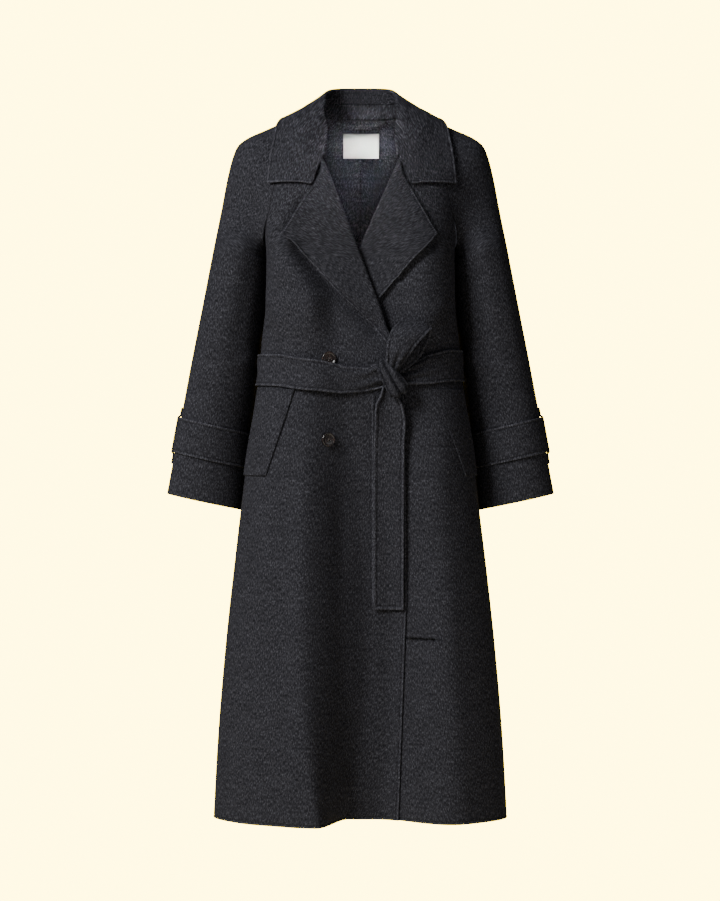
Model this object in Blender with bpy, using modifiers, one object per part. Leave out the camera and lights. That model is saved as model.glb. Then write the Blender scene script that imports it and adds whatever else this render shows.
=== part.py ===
"""A long belted wrap coat of double-faced wool, hanging hollow as if worn.

Metres, +Z up, the front faces -Y. The origin is where the wearer's shoulders carry the coat,
in the middle of the neck at the height of the side neck points.
Every cloth piece is an open grid of points on the coat's form, and Solidify gives it its wall.
"""

import math

import bmesh
import bpy
import numpy as np
from mathutils import Matrix

MM = 0.001
COLLECTION = "coat"

# ---------------------------------------------------------------- driving sizes, in millimetres
WALL = 2.6               # double-faced wool
SEAM = 0.8               # between the middles of two edges that are sewn together
CLEAR = 0.4              # between a piece and what it lies on
HEM_Z = -1187.0
UNDERARM_Z = -245.0
NECK_Z = -8.0            # top of the front raglan seam
GORGE_Z = -86.0          # where the lapels' turn meets the collar
BACK_NECK_Z = 4.0
SIDE_ANGLE = 97.0        # side seam, in degrees round from the centre front
SIDE_RADIUS = 150.0      # about how far the side seams lie from the middle
SEAM_ANGLE = math.degrees(SEAM / 2 / SIDE_RADIUS)
BELT_WIDTH = 53.0


class Table:
    """Sizes in millimetres by row, read between the rows along a smooth curve with no overshoot."""

    def __init__(self, columns, rows):
        self.columns = columns.split()
        ordered = sorted(rows)
        self.values = np.array(ordered, float)

    def straight(self, column, at):
        """The column's value at each position of the first column, straight between the rows."""
        return np.interp(at, self.values[:, 0], self.values[:, self.columns.index(column)])

    def read(self, column, at):
        """The same along the smooth curve, held at both ends."""
        x = self.values[:, 0]
        y = self.values[:, self.columns.index(column)]
        step = np.diff(x)
        slope = np.diff(y) / step
        left, right = slope[:-1], slope[1:]
        same_way = left * right > 0
        left, right = np.where(same_way, left, 1.0), np.where(same_way, right, 1.0)
        w_left, w_right = 2 * step[1:] + step[:-1], step[1:] + 2 * step[:-1]
        mean = (w_left + w_right) / (w_left / left + w_right / right)
        tangent = np.zeros_like(y)
        tangent[1:-1] = np.where(same_way, mean, 0.0)
        tangent[0], tangent[-1] = slope[0], slope[-1]
        at = np.clip(np.asarray(at, float), x[0], x[-1])
        i = np.clip(np.searchsorted(x, at, side="right") - 1, 0, len(step) - 1)
        h = step[i]
        s = (at - x[i]) / h
        return (y[i] * (1 + 2 * s) * (1 - s) ** 2 + y[i + 1] * s * s * (3 - 2 * s)
                + h * s * (1 - s) * (tangent[i] * (1 - s) - tangent[i + 1] * s))


def ease(t):
    """0 below 0, 1 above 1, smooth between."""
    t = np.clip(t, 0.0, 1.0)
    return t * t * (3 - 2 * t)


def bump(x, centre, width):
    """A soft hill, 1 at its centre."""
    return np.exp(-(((x - centre) / width) ** 2))


# ---------------------------------------------------------------- the coat's form: one ring at each height
# square: exponent of the ring, 2 is an ellipse. pinch: how far the side is pressed in by the sleeve.
# hollow: depth of the long fold in the front; fold_x, fold_w: middle and width of its steep side.
# back_fold: height of the two soft folds in the back.
BODY = Table("z half front back square pinch hollow fold_x fold_w back_fold", [
    (HEM_Z, 246, 148, 158, 1.8, 0, 112, -47, 52, 14),
    (-1057, 239, 143, 152, 1.85, 0, 90, -50, 64, 12),
    (-887, 225, 135, 143, 1.95, 0, 66, -54, 76, 9),
    (-751, 210, 128, 133, 2.1, 0, 50, -57, 80, 6),
    (-663, 200, 123, 126, 2.2, 0, 41, -60, 80, 4),
    (-547, 187, 118, 116, 2.35, 0, 30, -63, 78, 2),
    (-465, 175, 114, 106, 2.4, 0, 18, -66, 74, 0),
    (-428, 169, 111, 101, 2.4, 0, 12, -67, 72, 0),
    (-385, 169, 115, 105, 2.5, 3, 13, -68, 72, 0),
    (-320, 168, 126, 112, 2.8, 16, 22, -69, 72, 0),
    (UNDERARM_Z, 167, 125, 114, 3.0, 20, 20, -70, 72, 0),
    (-200, 169, 119, 114, 2.9, 16, 14, -70, 72, 0),
    (-160, 170, 111, 113, 2.8, 8, 8, -70, 72, 0),
    (-113, 170, 97, 109, 2.7, 0, 0, -70, 72, 0),
    (-76, 160, 82, 101, 2.6, 0, 0, -70, 72, 0),
    (-40, 140, 62, 89, 2.5, 0, 0, -70, 72, 0),
    (NECK_Z, 118, 42, 77, 2.5, 0, 0, -70, 72, 0),
    (BACK_NECK_Z, 104, 30, 68, 2.5, 0, 0, -70, 72, 0),
])
HOLLOW_FLAT = 40.0       # level floor of the long fold, right of its steep side
HOLLOW_RISE = 160.0      # width of its slow side
PINCH_ANGLE, PINCH_WIDTH = 100.0, 26.0
BACK_FOLD_ANGLES, BACK_FOLD_WIDTH = (-152.0, 150.0), 13.0
BEND_WEIGHT = 60.0       # cloth that one radian of bend counts for when columns are shared out


def ring(angle, z):
    """x and y of the form at an angle in degrees, 0 at the centre front and + to the wearer's left.

    A superellipse in polar form, less the side pinch, plus the back folds; the long front fold
    then moves the points back."""
    a = np.radians(angle)
    depth = np.where(np.cos(a) > 0, BODY.read("front", z), BODY.read("back", z))
    n = BODY.read("square", z)
    r = ((np.abs(np.sin(a)) / BODY.read("half", z)) ** n + (np.abs(np.cos(a)) / depth) ** n) ** (-1 / n)
    r = r - BODY.read("pinch", z) * bump(np.abs(angle), PINCH_ANGLE, PINCH_WIDTH)
    for centre in BACK_FOLD_ANGLES:
        r = r + BODY.read("back_fold", z) * bump(angle, centre, BACK_FOLD_WIDTH)
    x, y = r * np.sin(a), -r * np.cos(a)
    start = BODY.read("fold_x", z) - BODY.read("fold_w", z) / 2
    steep = ease((x - start) / BODY.read("fold_w", z))
    slow = 1 - ease((x - start - BODY.read("fold_w", z) - HOLLOW_FLAT) / HOLLOW_RISE)
    return x, y + np.where(np.cos(a) > 0, BODY.read("hollow", z) * steep * slow, 0.0)


def layer(angle, z, out=0.0):
    """The form's points moved out along the ring's own normal, as x, y, z in the last axis."""
    small = 0.2
    angle, z, out = (values.astype(float) for values in np.broadcast_arrays(angle, z, out))
    x, y = ring(angle, z)
    (x1, y1), (x0, y0) = ring(angle + small, z), ring(angle - small, z)
    length = np.hypot(x1 - x0, y1 - y0)
    return np.stack([x + out * (y1 - y0) / length, y - out * (x1 - x0) / length, z], axis=-1)


def angle_at(x, z):
    """The front angle at which the form has this x, by halving."""
    x, z = np.broadcast_arrays(np.asarray(x, float), np.asarray(z, float))
    low, high = np.full(x.shape, -88.0), np.full(x.shape, 88.0)
    for _ in range(36):
        middle = (low + high) / 2
        beyond = ring(middle, z)[0] > x
        low, high = np.where(beyond, low, middle), np.where(beyond, middle, high)
    return (low + high) / 2


def even_angles(start, end, z, count):
    """Angles from start to end, closer together where the ring bends."""
    dense = start + (end - start) * np.linspace(0, 1, 241)
    step = np.diff(layer(dense, z)[:, :2], axis=0)
    length = np.hypot(step[:, 0], step[:, 1])
    heading = np.unwrap(np.arctan2(step[:, 1], step[:, 0]))
    turned = np.abs(np.gradient(heading))
    along = np.concatenate([[0.0], np.cumsum(length + BEND_WEIGHT * turned)])
    return np.interp(np.linspace(0, along[-1], count), along, dense)


# ---------------------------------------------------------------- seams on the form
# The raglan seams, from the underarm up to the neckline.
FRONT_SEAM = Table("z angle", [
    (UNDERARM_Z, SIDE_ANGLE), (-225, 84), (-207, 75), (-165, 66.5), (-120, 64), (-76, 63), (-40, 66),
    (NECK_Z, 69.5)])
BACK_SEAM = Table("z angle", [
    (UNDERARM_Z, SIDE_ANGLE), (-225, 108), (-200, 119), (-150, 129), (-100, 134), (-50, 138),
    (BACK_NECK_Z, 143)])


def front_seam(rise):
    """Angle and height of the front raglan seam, rise 0 at the underarm and 1 at the neck."""
    z = UNDERARM_Z + rise * (NECK_Z - UNDERARM_Z)
    return FRONT_SEAM.read("angle", z), z


def back_seam(rise):
    """The same for the back raglan seam."""
    z = UNDERARM_Z + rise * (BACK_NECK_Z - UNDERARM_Z)
    return BACK_SEAM.read("angle", z), z


# Rows of the panels: below the underarm by height, above it by rise.
SKIRT_Z = [HEM_Z, -1090, -980, -870, -760, -663, -590, -530, -485, -448, -425, -402, -396, -375, -345, -310,
           -276]
RISES = [0.0, 0.08, 0.166, 0.27, 0.39, 0.502, 0.60, 0.671, 0.76, 0.86, 0.94, 1.0]


# ---------------------------------------------------------------- making cloth solids
def new_object(name, mesh, material, parent):
    """Links a mesh to the coat's collection, with its material, under the origin empty."""
    item = bpy.data.objects.new(name, mesh)
    bpy.data.collections[COLLECTION].objects.link(item)
    mesh.materials.append(material)
    mesh.shade_smooth()
    mesh.set_sharp_from_angle(angle=math.radians(40))
    item.parent = parent
    return item


def sheet(name, points, material, parent, wall=WALL, closed=False, cloth=None):
    """A cloth wall: a grid of middle points in millimetres, rows by columns, with Solidify.

    closed joins the last column to the first. cloth says which squares of the grid there are."""
    rows, columns = points.shape[:2]
    corner = np.arange(rows * columns).reshape(rows, columns)
    if closed:
        corner = np.concatenate([corner, corner[:, :1]], axis=1)
    quads = np.stack([corner[:-1, :-1], corner[:-1, 1:], corner[1:, 1:], corner[1:, :-1]], axis=-1)
    quads = quads.reshape(-1, 4) if cloth is None else quads[cloth]
    used, quads = np.unique(quads, return_inverse=True)
    mesh = bpy.data.meshes.new(name)
    mesh.from_pydata((points.reshape(-1, 3)[used] * MM).tolist(), [], quads.reshape(-1, 4).tolist())
    item = new_object(name, mesh, material, parent)
    wall_modifier = item.modifiers.new("wall", "SOLIDIFY")
    wall_modifier.thickness = wall * MM
    wall_modifier.offset = 0.0
    wall_modifier.use_even_offset = True
    return item


def plain_material(name, colour, roughness=0.9):
    """A Principled material of one colour."""
    made = bpy.data.materials.new(name)
    made.use_nodes = True
    surface = made.node_tree.nodes["Principled BSDF"]
    surface.inputs["Base Color"].default_value = (*colour, 1.0)
    surface.inputs["Roughness"].default_value = roughness
    surface.inputs["Metallic"].default_value = 0.0
    return made


# ---------------------------------------------------------------- fronts with their lapels
# roll_x: where the cloth turns over. arc: cloth in the turn. length: from the turn to the lapel's edge.
# turn: degrees turned. Below the break the cloth runs straight on, and above the gorge to the neckline.
RIGHT_FRONT = Table("z roll_x arc length turn", [
    (HEM_Z, 41, 12.6, 10, 0), (-936, 49.9, 12.6, 10, 0), (-814, 54.5, 12.6, 10, 0),
    (-647, 52.7, 12.6, 10, 0), (-480, 49.8, 12.6, 10, 0), (-428, 49, 9, 6, 0), (-402, 48, 8, 2, 0),
    (-396, 54, 11, 6, 180),
    (-375, 46.7, 12.6, 10, 180), (-332.8, 30.7, 12.6, 36.5, 180), (-309.7, 21.9, 12.6, 55.8, 180),
    (-235.3, -6.4, 12.6, 98.5, 180), (-205.7, -17.7, 12.6, 109.5, 180), (-181, -27, 12.6, 84.6, 180),
    (-152.6, -37.9, 12.6, 57.2, 180), (-126, -47.9, 12.6, 30.9, 180), (-102.8, -56.8, 12.6, 9.7, 180),
    (GORGE_Z, -63.2, 11, 1.8, 180), (-65, -72, 2, 2, 0), (-36.4, -74, 2, 2, 0), (NECK_Z, -80, 2, 2, 0)])
LEFT_FRONT = Table("z roll_x arc length turn", [
    (HEM_Z, 2, 12.6, 10, 0), (-880, 4, 12.6, 10, 0), (-650, 2, 12.6, 10, 0), (-530, -14, 12.6, 10, 0),
    (-450, -50, 12.6, 10, 0), (-402, -67, 12.6, 10, 0), (-396, -69, 12.6, 27, 180),
    (-360, -54.4, 12.6, 44.4, 180), (-305.6, -30.8, 12.6, 68, 180),
    (-245, -4.5, 12.6, 94.5, 180), (-205.7, 12.6, 12.6, 111.3, 180), (-181, 23.3, 12.6, 87.2, 180),
    (-152.6, 35.6, 12.6, 59.8, 180), (-126, 47.1, 12.6, 34.2, 180), (-102.8, 57.2, 12.6, 11.6, 180),
    (GORGE_Z, 64.5, 11, 1.8, 180), (-65, 73.3, 2, 2, 0), (-36.4, 75.3, 2, 2, 0), (NECK_Z, 81.3, 2, 2, 0)])
BREAK_Z = -399.0         # below this the fronts only overlap, above it their lapels do too
EDGE_LIFT = 5.3          # lapel's edge above the panel, middle to middle
LIFT_REACH = 1.2         # the lift is full before the lapel's edge, at its width over this
BODY_COLUMNS, TURN_COLUMNS, LAPEL_COLUMNS = {-1: 18, 1: 15}, 4, 6
ROLL_SHARE = {-1: 1.0, 1: 0.7}   # the covered lapel is pressed flatter
# The left front lies this far behind the right one below the break and above it, from past the right
# front's edge, and comes back to the form over OVERLAP_FADE.
LOW_DEPTH, HIGH_DEPTH = 4.4, 9.8
LOW_PAST, HIGH_PAST = 24.0, 2.0
OVERLAP_FADE, DEPTH_FADE = 70.0, 30.0


def overlap_depth(x, z):
    """How far the left front lies behind the form so that the right one covers it."""
    cover = RIGHT_FRONT.straight("roll_x", z) + np.where(z > BREAK_Z, HIGH_PAST, LOW_PAST)
    deep = LOW_DEPTH + (HIGH_DEPTH - LOW_DEPTH) * ease((z - BREAK_Z + DEPTH_FADE) / DEPTH_FADE)
    return deep * (1 - ease((x - cover) / OVERLAP_FADE))


def front_panel(side, z, seam_angle):
    """One row of a front: body, turn and lapel, side -1 for the wearer's right and +1 for the left.

    The body follows the form; the cloth then turns on an arc and the lapel comes back over the body,
    lifted off it. Where there is no turn it runs on along the form."""
    table = RIGHT_FRONT if side < 0 else LEFT_FRONT
    roll_x, arc_length, length, turn = (float(table.straight(column, z))
                                        for column in ("roll_x", "arc", "length", "turn"))

    def on_form(angle, out=0.0):
        covered = overlap_depth(ring(angle, z)[0], z) if side > 0 else 0.0
        return layer(angle, z, out - covered)

    roll = float(angle_at(roll_x, z))
    body = on_form(even_angles(seam_angle, roll, z, BODY_COLUMNS[side] + 1))
    small = 0.5
    tangent = body[-1] - on_form(roll + side * small)
    tangent /= np.linalg.norm(tangent)
    outward = -side * np.array([tangent[1], -tangent[0], 0.0])
    radius = ROLL_SHARE[side] * arc_length / math.pi
    part = np.linspace(0, 1, TURN_COLUMNS + 1)[1:, None]
    arc = body[-1] + radius * (np.sin(math.pi * part) * tangent + (1 - np.cos(math.pi * part)) * outward)
    reach = np.linspace(0, 1, LAPEL_COLUMNS + 1)[1:]
    if turn < 90.0:
        on = -side * np.concatenate([arc_length * part[:, 0], arc_length + length * reach])
        return np.concatenate([body, on_form(angle_at(roll_x + on, z))])
    lift = 2 * radius + (EDGE_LIFT - 2 * radius) * ease(reach * LIFT_REACH)
    return np.concatenate([body, arc, on_form(angle_at(roll_x + side * length * reach, z), lift)])


def build_front(name, side, material, parent):
    """A front in one piece with its lapel, from hem to neckline.

    The turned cloth starts at the break and ends at the gorge."""
    edges = [(SIDE_ANGLE, z) for z in SKIRT_Z] + [front_seam(rise) for rise in RISES]
    points = np.stack([front_panel(side, float(z), side * (float(angle) - SEAM_ANGLE))
                       for angle, z in edges])
    low, high = points[:-1, 0, 2], points[1:, 0, 2]
    turned = np.arange(points.shape[1] - 1) >= BODY_COLUMNS[side]
    flat_row = ((low < BREAK_Z) & (high > BREAK_Z)) | ((low + high) / 2 > GORGE_Z + 1.0)
    cloth = ~(turned[None, :] & flat_row[:, None])
    return sheet(name, points, material, parent, cloth=cloth)


# ---------------------------------------------------------------- backs
BACK_COLUMNS = 10


def back_panel(side, z, seam_angle):
    """One row of half a back, from its seam to the centre."""
    return layer(even_angles(seam_angle, side * 180.0, z, BACK_COLUMNS + 1), z)


def build_back(name, side, material, parent):
    """Half of the back, from the side seam to the centre back seam."""
    edges = [(SIDE_ANGLE, z) for z in SKIRT_Z] + [back_seam(rise) for rise in RISES]
    points = np.stack([back_panel(side, float(z), side * (float(angle) + SEAM_ANGLE))
                       for angle, z in edges])
    points[:, -1, 0] = side * SEAM / 2
    return sheet(name, points, material, parent)


# ---------------------------------------------------------------- raglan sleeves
# The arm is a tube between an underarm line and an overarm line; above the underarm the underarm line
# parts into the two raglan seams and the overarm line runs over the shoulder to the neck.
ARM = Table("s under_x under_y under_z over_x over_y over_z front back", [
    (0.0, 197, 46, -668, 330, 32, -639, 50, 54),
    (0.25, 188.5, 46, -560, 310, 30, -532, 56, 60),
    (0.56, 166, 42, -430, 285.5, 26, -403, 62, 67),
    (0.77, 160, 29, -343, 268, 20, -317, 66, 72),
    (1.0, 148, 15, UNDERARM_Z, 250, 15, -226, 68, 76)])
OVERARM = Table("rise x y z", [
    (0.0, 250, 15, -226), (0.25, 236, 12, -157), (0.42, 224.5, 10, -98), (0.52, 216, 9, -66),
    (0.58, 208, 9, -48), (0.65, 194, 8, -36.5), (0.78, 158, 7, -20), (0.90, 120, 7, -3), (1.0, 85, 7, 12)])
SLEEVE_SEAM = 1.4        # under the arm, where the halves meet at an angle
UNDER_LEAN = (-0.25, 1.0, 0.05)   # way in which the sleeve leaves its underarm seam, for the back half
ROUND = 4 / 3            # handle length of a cubic curve that turns half way round
CAP_TOP = 0.38           # rise at which the arm's round section has become the shoulder's
SEAM_CLOSES = 0.1        # rise at which the underarm's wider gap has closed
LEAST_HANDLE = 8.0
SEAM_HANDLE, SHOULDER_HANDLE = 0.36, 0.42    # handles over the shoulder, as shares of the span
PUSH_SOFT, PUSH_NEAR = 4.0, 30.0             # softness and reach of the push off the body
BELT_ROOM, BELT_ROOM_Z = 5.5, -425.0         # the sleeve clears the belt too
ARM_STEPS = [0.0, 0.11, 0.21, 0.31, 0.43, 0.55, 0.66, 0.77, 0.88]
SLEEVE_COLUMNS = 8


def bezier(start, first, second, end, count):
    """Points on a cubic curve."""
    t = np.linspace(0, 1, count)[:, None]
    return (1 - t) ** 3 * start + 3 * t * (1 - t) ** 2 * first + 3 * t * t * (1 - t) * second + t ** 3 * end


def clear_of_body(points, weight):
    """Moves points out so that they pass the body's wall with a small gap."""
    angle = np.degrees(np.arctan2(points[:, 0], -points[:, 1]))
    belt = BELT_ROOM * bump(points[:, 2], BELT_ROOM_Z, BELT_WIDTH)
    wall = np.hypot(*ring(angle, points[:, 2])) + WALL + 3 * CLEAR + belt
    out = np.hypot(points[:, 0], points[:, 1])
    pushed = wall + PUSH_SOFT * np.log1p(np.exp((out - wall) / PUSH_SOFT))
    scale = np.where(out - wall > PUSH_NEAR, 1.0, 1 + weight * (pushed / out - 1))
    return points * np.stack([scale, scale, np.ones_like(scale)], axis=-1)


def arm_section(s, half):
    """Half of the arm's ring, from the underarm to the overarm line, half -1 for front and +1 for back."""
    under_x, under_y, under_z, over_x, over_y, over_z = (
        float(ARM.read(f"{line}_{axis}", s)) for line in ("under", "over") for axis in "xyz")
    depth = float(ARM.read("front" if half < 0 else "back", s))
    under = np.array([-under_x, under_y + half * SLEEVE_SEAM / 2, under_z])
    over = np.array([-over_x, over_y + half * SEAM / 2, over_z])
    leave = np.array(UNDER_LEAN) * (1.0, half, 1.0) * depth * ROUND
    arrive = np.array([0.0, half, 0.0]) * depth * ROUND
    return clear_of_body(bezier(under, under + leave, over + arrive, over, SLEEVE_COLUMNS + 1), 1.0)


def cap_section(rise, half):
    """Half of a section above the underarm, from a raglan seam over to the shoulder line."""
    seam = front_seam if half < 0 else back_seam
    angle, z = (float(v) for v in seam(rise))
    arm = 1 - ease(rise / CAP_TOP)
    start = layer(-angle, z, arm * (WALL + 2 * CLEAR))
    start[1] += half * SLEEVE_SEAM / 2 * max(0.0, 1 - rise / SEAM_CLOSES)
    over_x, over_y, over_z = (float(OVERARM.read(axis, rise)) for axis in "xyz")
    over = np.array([-over_x, over_y + half * SEAM / 2, over_z])
    small = 0.5
    along = layer(-angle + half * small, z) - layer(-angle, z)
    along /= np.linalg.norm(along)
    up = layer(-angle, z + small) - layer(-angle, z - small)
    up -= along * (up @ along)
    up /= np.linalg.norm(up)
    chord = over - start
    span = np.linalg.norm(chord)
    inside = along * (chord @ along) + up * (chord @ up)
    inside /= np.linalg.norm(inside)
    depth = float(ARM.read("front" if half < 0 else "back", 1.0))
    left = max(depth - half * (start[1] - float(ARM.read("under_y", 1.0))), LEAST_HANDLE)
    lean = np.array(UNDER_LEAN) * (1.0, half, 1.0)
    first = start + (SEAM * (1 - arm)) * inside
    leave = (1 - arm) * inside * span * SEAM_HANDLE + arm * lean * left * ROUND
    arrive = np.array([0.0, half, 0.0]) * ((1 - arm) * span * SHOULDER_HANDLE + arm * depth * ROUND)
    section = bezier(first, first + leave, over + arrive, over, SLEEVE_COLUMNS + 1)
    return clear_of_body(section, arm) if arm > 0 else section


def build_sleeve(name, side, half, material, parent):
    """Front or back half of a sleeve, from cuff to neckline; side -1 is the wearer's right."""
    grid = np.stack([arm_section(s, half) for s in ARM_STEPS] + [cap_section(r, half) for r in RISES])
    if side > 0:
        grid = grid * np.array([-1.0, 1.0, 1.0])
    return sheet(name, grid, material, parent)


# ---------------------------------------------------------------- collar
# Half a collar, from the centre back (at 0) to the gorge (at 1), on the wearer's left.
# n: the neckline, where the stand starts. k: the top of the fold. q: half way down the leaf. e: its
# outer edge. roll: radius of the fold. share: part of the rise to the fold that is stand.
COLLAR = Table("at n_x n_y n_z k_x k_y k_z q_x q_y q_z e_x e_y e_z roll share", [
    (0.00, 0, 68.5, 6, 0, 62, 58.5, 0, 86, 12, 0, 99, -33, 3.4, 0.50),
    (0.20, 26, 67, 6, 27, 57, 57.5, 38, 80, 12, 46, 94, -32, 3.4, 0.50),
    (0.40, 50.5, 60, 6.5, 46, 41, 53, 70, 62, 15, 88, 79, -24, 3.4, 0.50),
    (0.50, 71, 38, 11, 53, 25, 46, 86, 42, 20, 108, 60, -13, 3.4, 0.50),
    (0.60, 82.5, 8, 14, 57.5, 8, 36, 94, 20, 22, 122, 40, -3, 3.4, 0.50),
    (0.75, 78, -32, -5, 59, -24, 5, 98, -16, 12, 134, 5, -4, 3.2, 0.48),
    (0.88, 67, -57, -40, 58.5, -56, -42, 103, -60, -36, 147, -37, -46, 2.8, 0.40),
    (1.00, 64.3, -78, -73, 59.4, -82.5, -74, 82.4, -102, -121.0, 157, -66, -118.5, 2.2, 0.35)])
COLLAR_AT = [0.0, 0.1, 0.2, 0.3, 0.4, 0.5, 0.6, 0.68, 0.75, 0.82, 0.88, 0.94, 1.0]
STAND_COLUMNS, RISE_COLUMNS, ROLL_COLUMNS, LEAF_COLUMNS = 2, 2, 4, 7
NOTCH = 3 / 7            # place of the notch along the collar's front edge
LEAF_LIFT = 5.8          # least distance from the cloth under the leaf, middle to middle
LEFT_REACH = {"n": 1.3, "k": 1.3, "q": 1.3, "e": 3.1}   # in front the collar sits this far to the left
PRESS_FROM, PRESS_OVER = 0.72, 0.16      # from here to the gorge the leaf is pressed down flat
SHARP_FROM = 0.85                        # from here the leaf bends at the notch's line
UNDER_FINER, UNDER_FROM = 6, 0.3         # the leaf is kept off the panels above this rise
SHOULDER_INSIDE = (60.0, 10.0, -130.0)   # a point inside the left shoulder


def collar_lines(at, letter):
    """A line of the collar over its whole length, at from -1 to +1."""
    x, y, z = (COLLAR.read(f"{letter}_{axis}", np.abs(at)) for axis in "xyz")
    return np.stack([np.sign(at) * x + LEFT_REACH[letter] * at * at, y, z], axis=-1)


def unit(vectors):
    """Vectors of length 1."""
    return vectors / np.linalg.norm(vectors, axis=-1, keepdims=True)


def both_ways(steps):
    """Steps from -1 to +1 out of steps from 0 to 1."""
    return np.array([-v for v in reversed(steps[1:])] + list(steps))


def build_stand(material, parent):
    """The collar's stand, from the neckline half way up to the fold."""
    at = both_ways(COLLAR_AT)
    neck, fold = collar_lines(at, "n"), collar_lines(at, "k")
    t = np.linspace(0, 1, STAND_COLUMNS + 1)[:, None, None]
    rise = fold - neck
    stand = COLLAR.read("share", np.abs(at))[:, None] * rise - unit(rise) * SEAM
    return sheet("collar_stand", neck + t * stand, material, parent)


def finer(grid, times):
    """The grid's points with more of them between, straight along rows and columns."""
    for axis in (0, 1):
        count = grid.shape[axis]
        place = np.linspace(0, count - 1, (count - 1) * times + 1)
        low = np.minimum(place.astype(int), count - 2)
        part = np.expand_dims(place - low, (1, 2) if axis == 0 else (0, 2))
        grid = np.take(grid, low, axis) * (1 - part) + np.take(grid, low + 1, axis) * part
    return grid


def cloth_under_collar():
    """Points and outward normals of the cloth that the leaf lies on."""
    points, normals = [], []
    rises = [rise for rise in RISES if rise > UNDER_FROM]
    for side in (-1, 1):
        front = np.stack([front_panel(side, float(z), side * float(angle))[:BODY_COLUMNS[side] + 1]
                          for angle, z in map(front_seam, rises)])
        back = np.stack([back_panel(side, float(z), side * float(angle))
                         for angle, z in map(back_seam, rises)])
        mirror = np.array([-float(side), 1.0, 1.0])
        caps = [np.stack([cap_section(rise, half) for rise in rises]) * mirror for half in (-1, 1)]
        for grid in (front, back, *caps):
            grid = finer(grid, UNDER_FINER)
            normal = unit(np.cross(np.gradient(grid, axis=0), np.gradient(grid, axis=1)) + 1e-9)
            away = grid - np.array(SHOULDER_INSIDE) * (side, 1.0, 1.0)
            points.append(grid.reshape(-1, 3))
            normals.append((normal * np.sign(np.sum(normal * away, axis=-1, keepdims=True))).reshape(-1, 3))
    return np.concatenate(points), np.concatenate(normals)


def lift_off(points, under, normals, least, weight):
    """Points moved out along the normal of the nearest point under them, to be at least this far off."""
    flat = points.reshape(-1, 3)
    gap = np.sum(flat ** 2, axis=1)[:, None] - 2 * flat @ under.T + np.sum(under ** 2, axis=1)[None, :]
    nearest = np.argmin(gap, axis=1)
    off = np.sum((flat - under[nearest]) * normals[nearest], axis=1)
    push = np.maximum(0.0, least - off) * weight.reshape(-1)
    return (flat + normals[nearest] * push[:, None]).reshape(points.shape)


def build_leaf(material, parent):
    """The collar's leaf: up from the stand, over the fold and down to the outer edge.

    The turn is an arc; the leaf then follows a quadratic curve through its middle and edge, which
    sharpens to two straight lines at the front edge, where the notch is."""
    at = both_ways(COLLAR_AT)
    neck, fold, middle, edge = (collar_lines(at, letter) for letter in "nkqe")
    up = unit(fold - neck)
    out = unit(np.cross(up, np.gradient(fold, axis=0)))
    down = unit(middle - fold)
    angle = np.arctan2(np.sum(down * out, axis=-1), np.sum(down * up, axis=-1))
    angle = (angle + ease((np.abs(at) - PRESS_FROM) / PRESS_OVER) * (math.pi - angle))[:, None]
    roll = COLLAR.read("roll", np.abs(at))[:, None]
    foot = neck + COLLAR.read("share", np.abs(at))[:, None] * (fold - neck)
    base = fold - up * roll
    rows = [foot + (base - foot) * t for t in np.linspace(0, 1, RISE_COLUMNS + 1)]
    for t in np.linspace(0, 1, ROLL_COLUMNS + 1)[1:]:
        rows.append(base + roll * (np.sin(angle * t) * up + (1 - np.cos(angle * t)) * out))
    start = rows[-1]
    sharp = ease((np.abs(at) - SHARP_FROM) / (1 - SHARP_FROM))[:, None]
    for t in np.linspace(0, 1, LEAF_COLUMNS + 1)[1:]:
        curve = 2 * (t - 0.5) * (t - 1) * start + 4 * t * (1 - t) * middle + 2 * t * (t - 0.5) * edge
        first, second = min(t / NOTCH, 1.0), max((t - NOTCH) / (1 - NOTCH), 0.0)
        lines = start + (middle - start) * first + (edge - middle) * second
        rows.append(curve + sharp * (lines - curve))
    grid = np.stack(rows)
    under, normals = cloth_under_collar()
    weight = np.zeros(grid.shape[:2])
    weight[RISE_COLUMNS + ROLL_COLUMNS:] = 1.0
    return sheet("collar_leaf", lift_off(grid, under, normals, LEAF_LIFT, weight), material, parent)


# ---------------------------------------------------------------- belt
# The band round the waist by angle, the ends meet behind the knot.
BELT = Table("angle z width out", [
    (-180, -425, BELT_WIDTH, 3.6), (-97, -428, BELT_WIDTH, 4.4), (-60, -431, BELT_WIDTH, 5),
    (-46, -437, 52.5, 8), (-32, -441.5, 51, 11), (-23, -444.5, 49.5, 10.5), (-12, -448, 44, 9),
    (4, -447.5, 39, 6), (16, -446, 32, 5), (25, -446, 24, 5),
    (32, -443, 25, 5), (40, -438, 34, 5), (52, -429, 50, 5), (66, -423, BELT_WIDTH, 5),
    (97, -422, BELT_WIDTH, 4.4), (180, -425, BELT_WIDTH, 3.6)])
KNOT_ANGLE, END_GAP = 25.0, 1.0
BAND_STEPS, BAND_COLUMNS = 52, 3
KNOT_X, KNOT_Z = 50.0, -445.0


def front_point(x, z, out):
    """A point over the front, by its x and height and how far it lies off the form."""
    return layer(angle_at(x, z), z, out)


def build_band(material, parent):
    """The belt round the waist, in one open ring."""
    angle = np.linspace(KNOT_ANGLE + END_GAP, KNOT_ANGLE + 360.0 - END_GAP, BAND_STEPS + 1)
    angle = np.where(angle > 180, angle - 360, angle)
    z, width, out = (BELT.read(column, angle) for column in ("z", "width", "out"))
    across = np.linspace(-0.5, 0.5, BAND_COLUMNS + 1)[:, None]
    return sheet("belt_band", layer(angle, z + width * across, out), material, parent)


# The wrap of the knot: a short tube across the belt, by the angle round it.
KNOT = Table("turn half_length shift", [(0, 11, 2), (90, 14, 0), (180, 17, 0), (270, 13, 0), (360, 11, 2)])
KNOT_HALF, KNOT_DEPTH, KNOT_OUT = 26.0, 8.0, 18.7
KNOT_SLOPE = 52.0        # degrees the wrap runs down to the wearer's left
KNOT_STEPS, KNOT_ROWS = 16, 5


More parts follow.
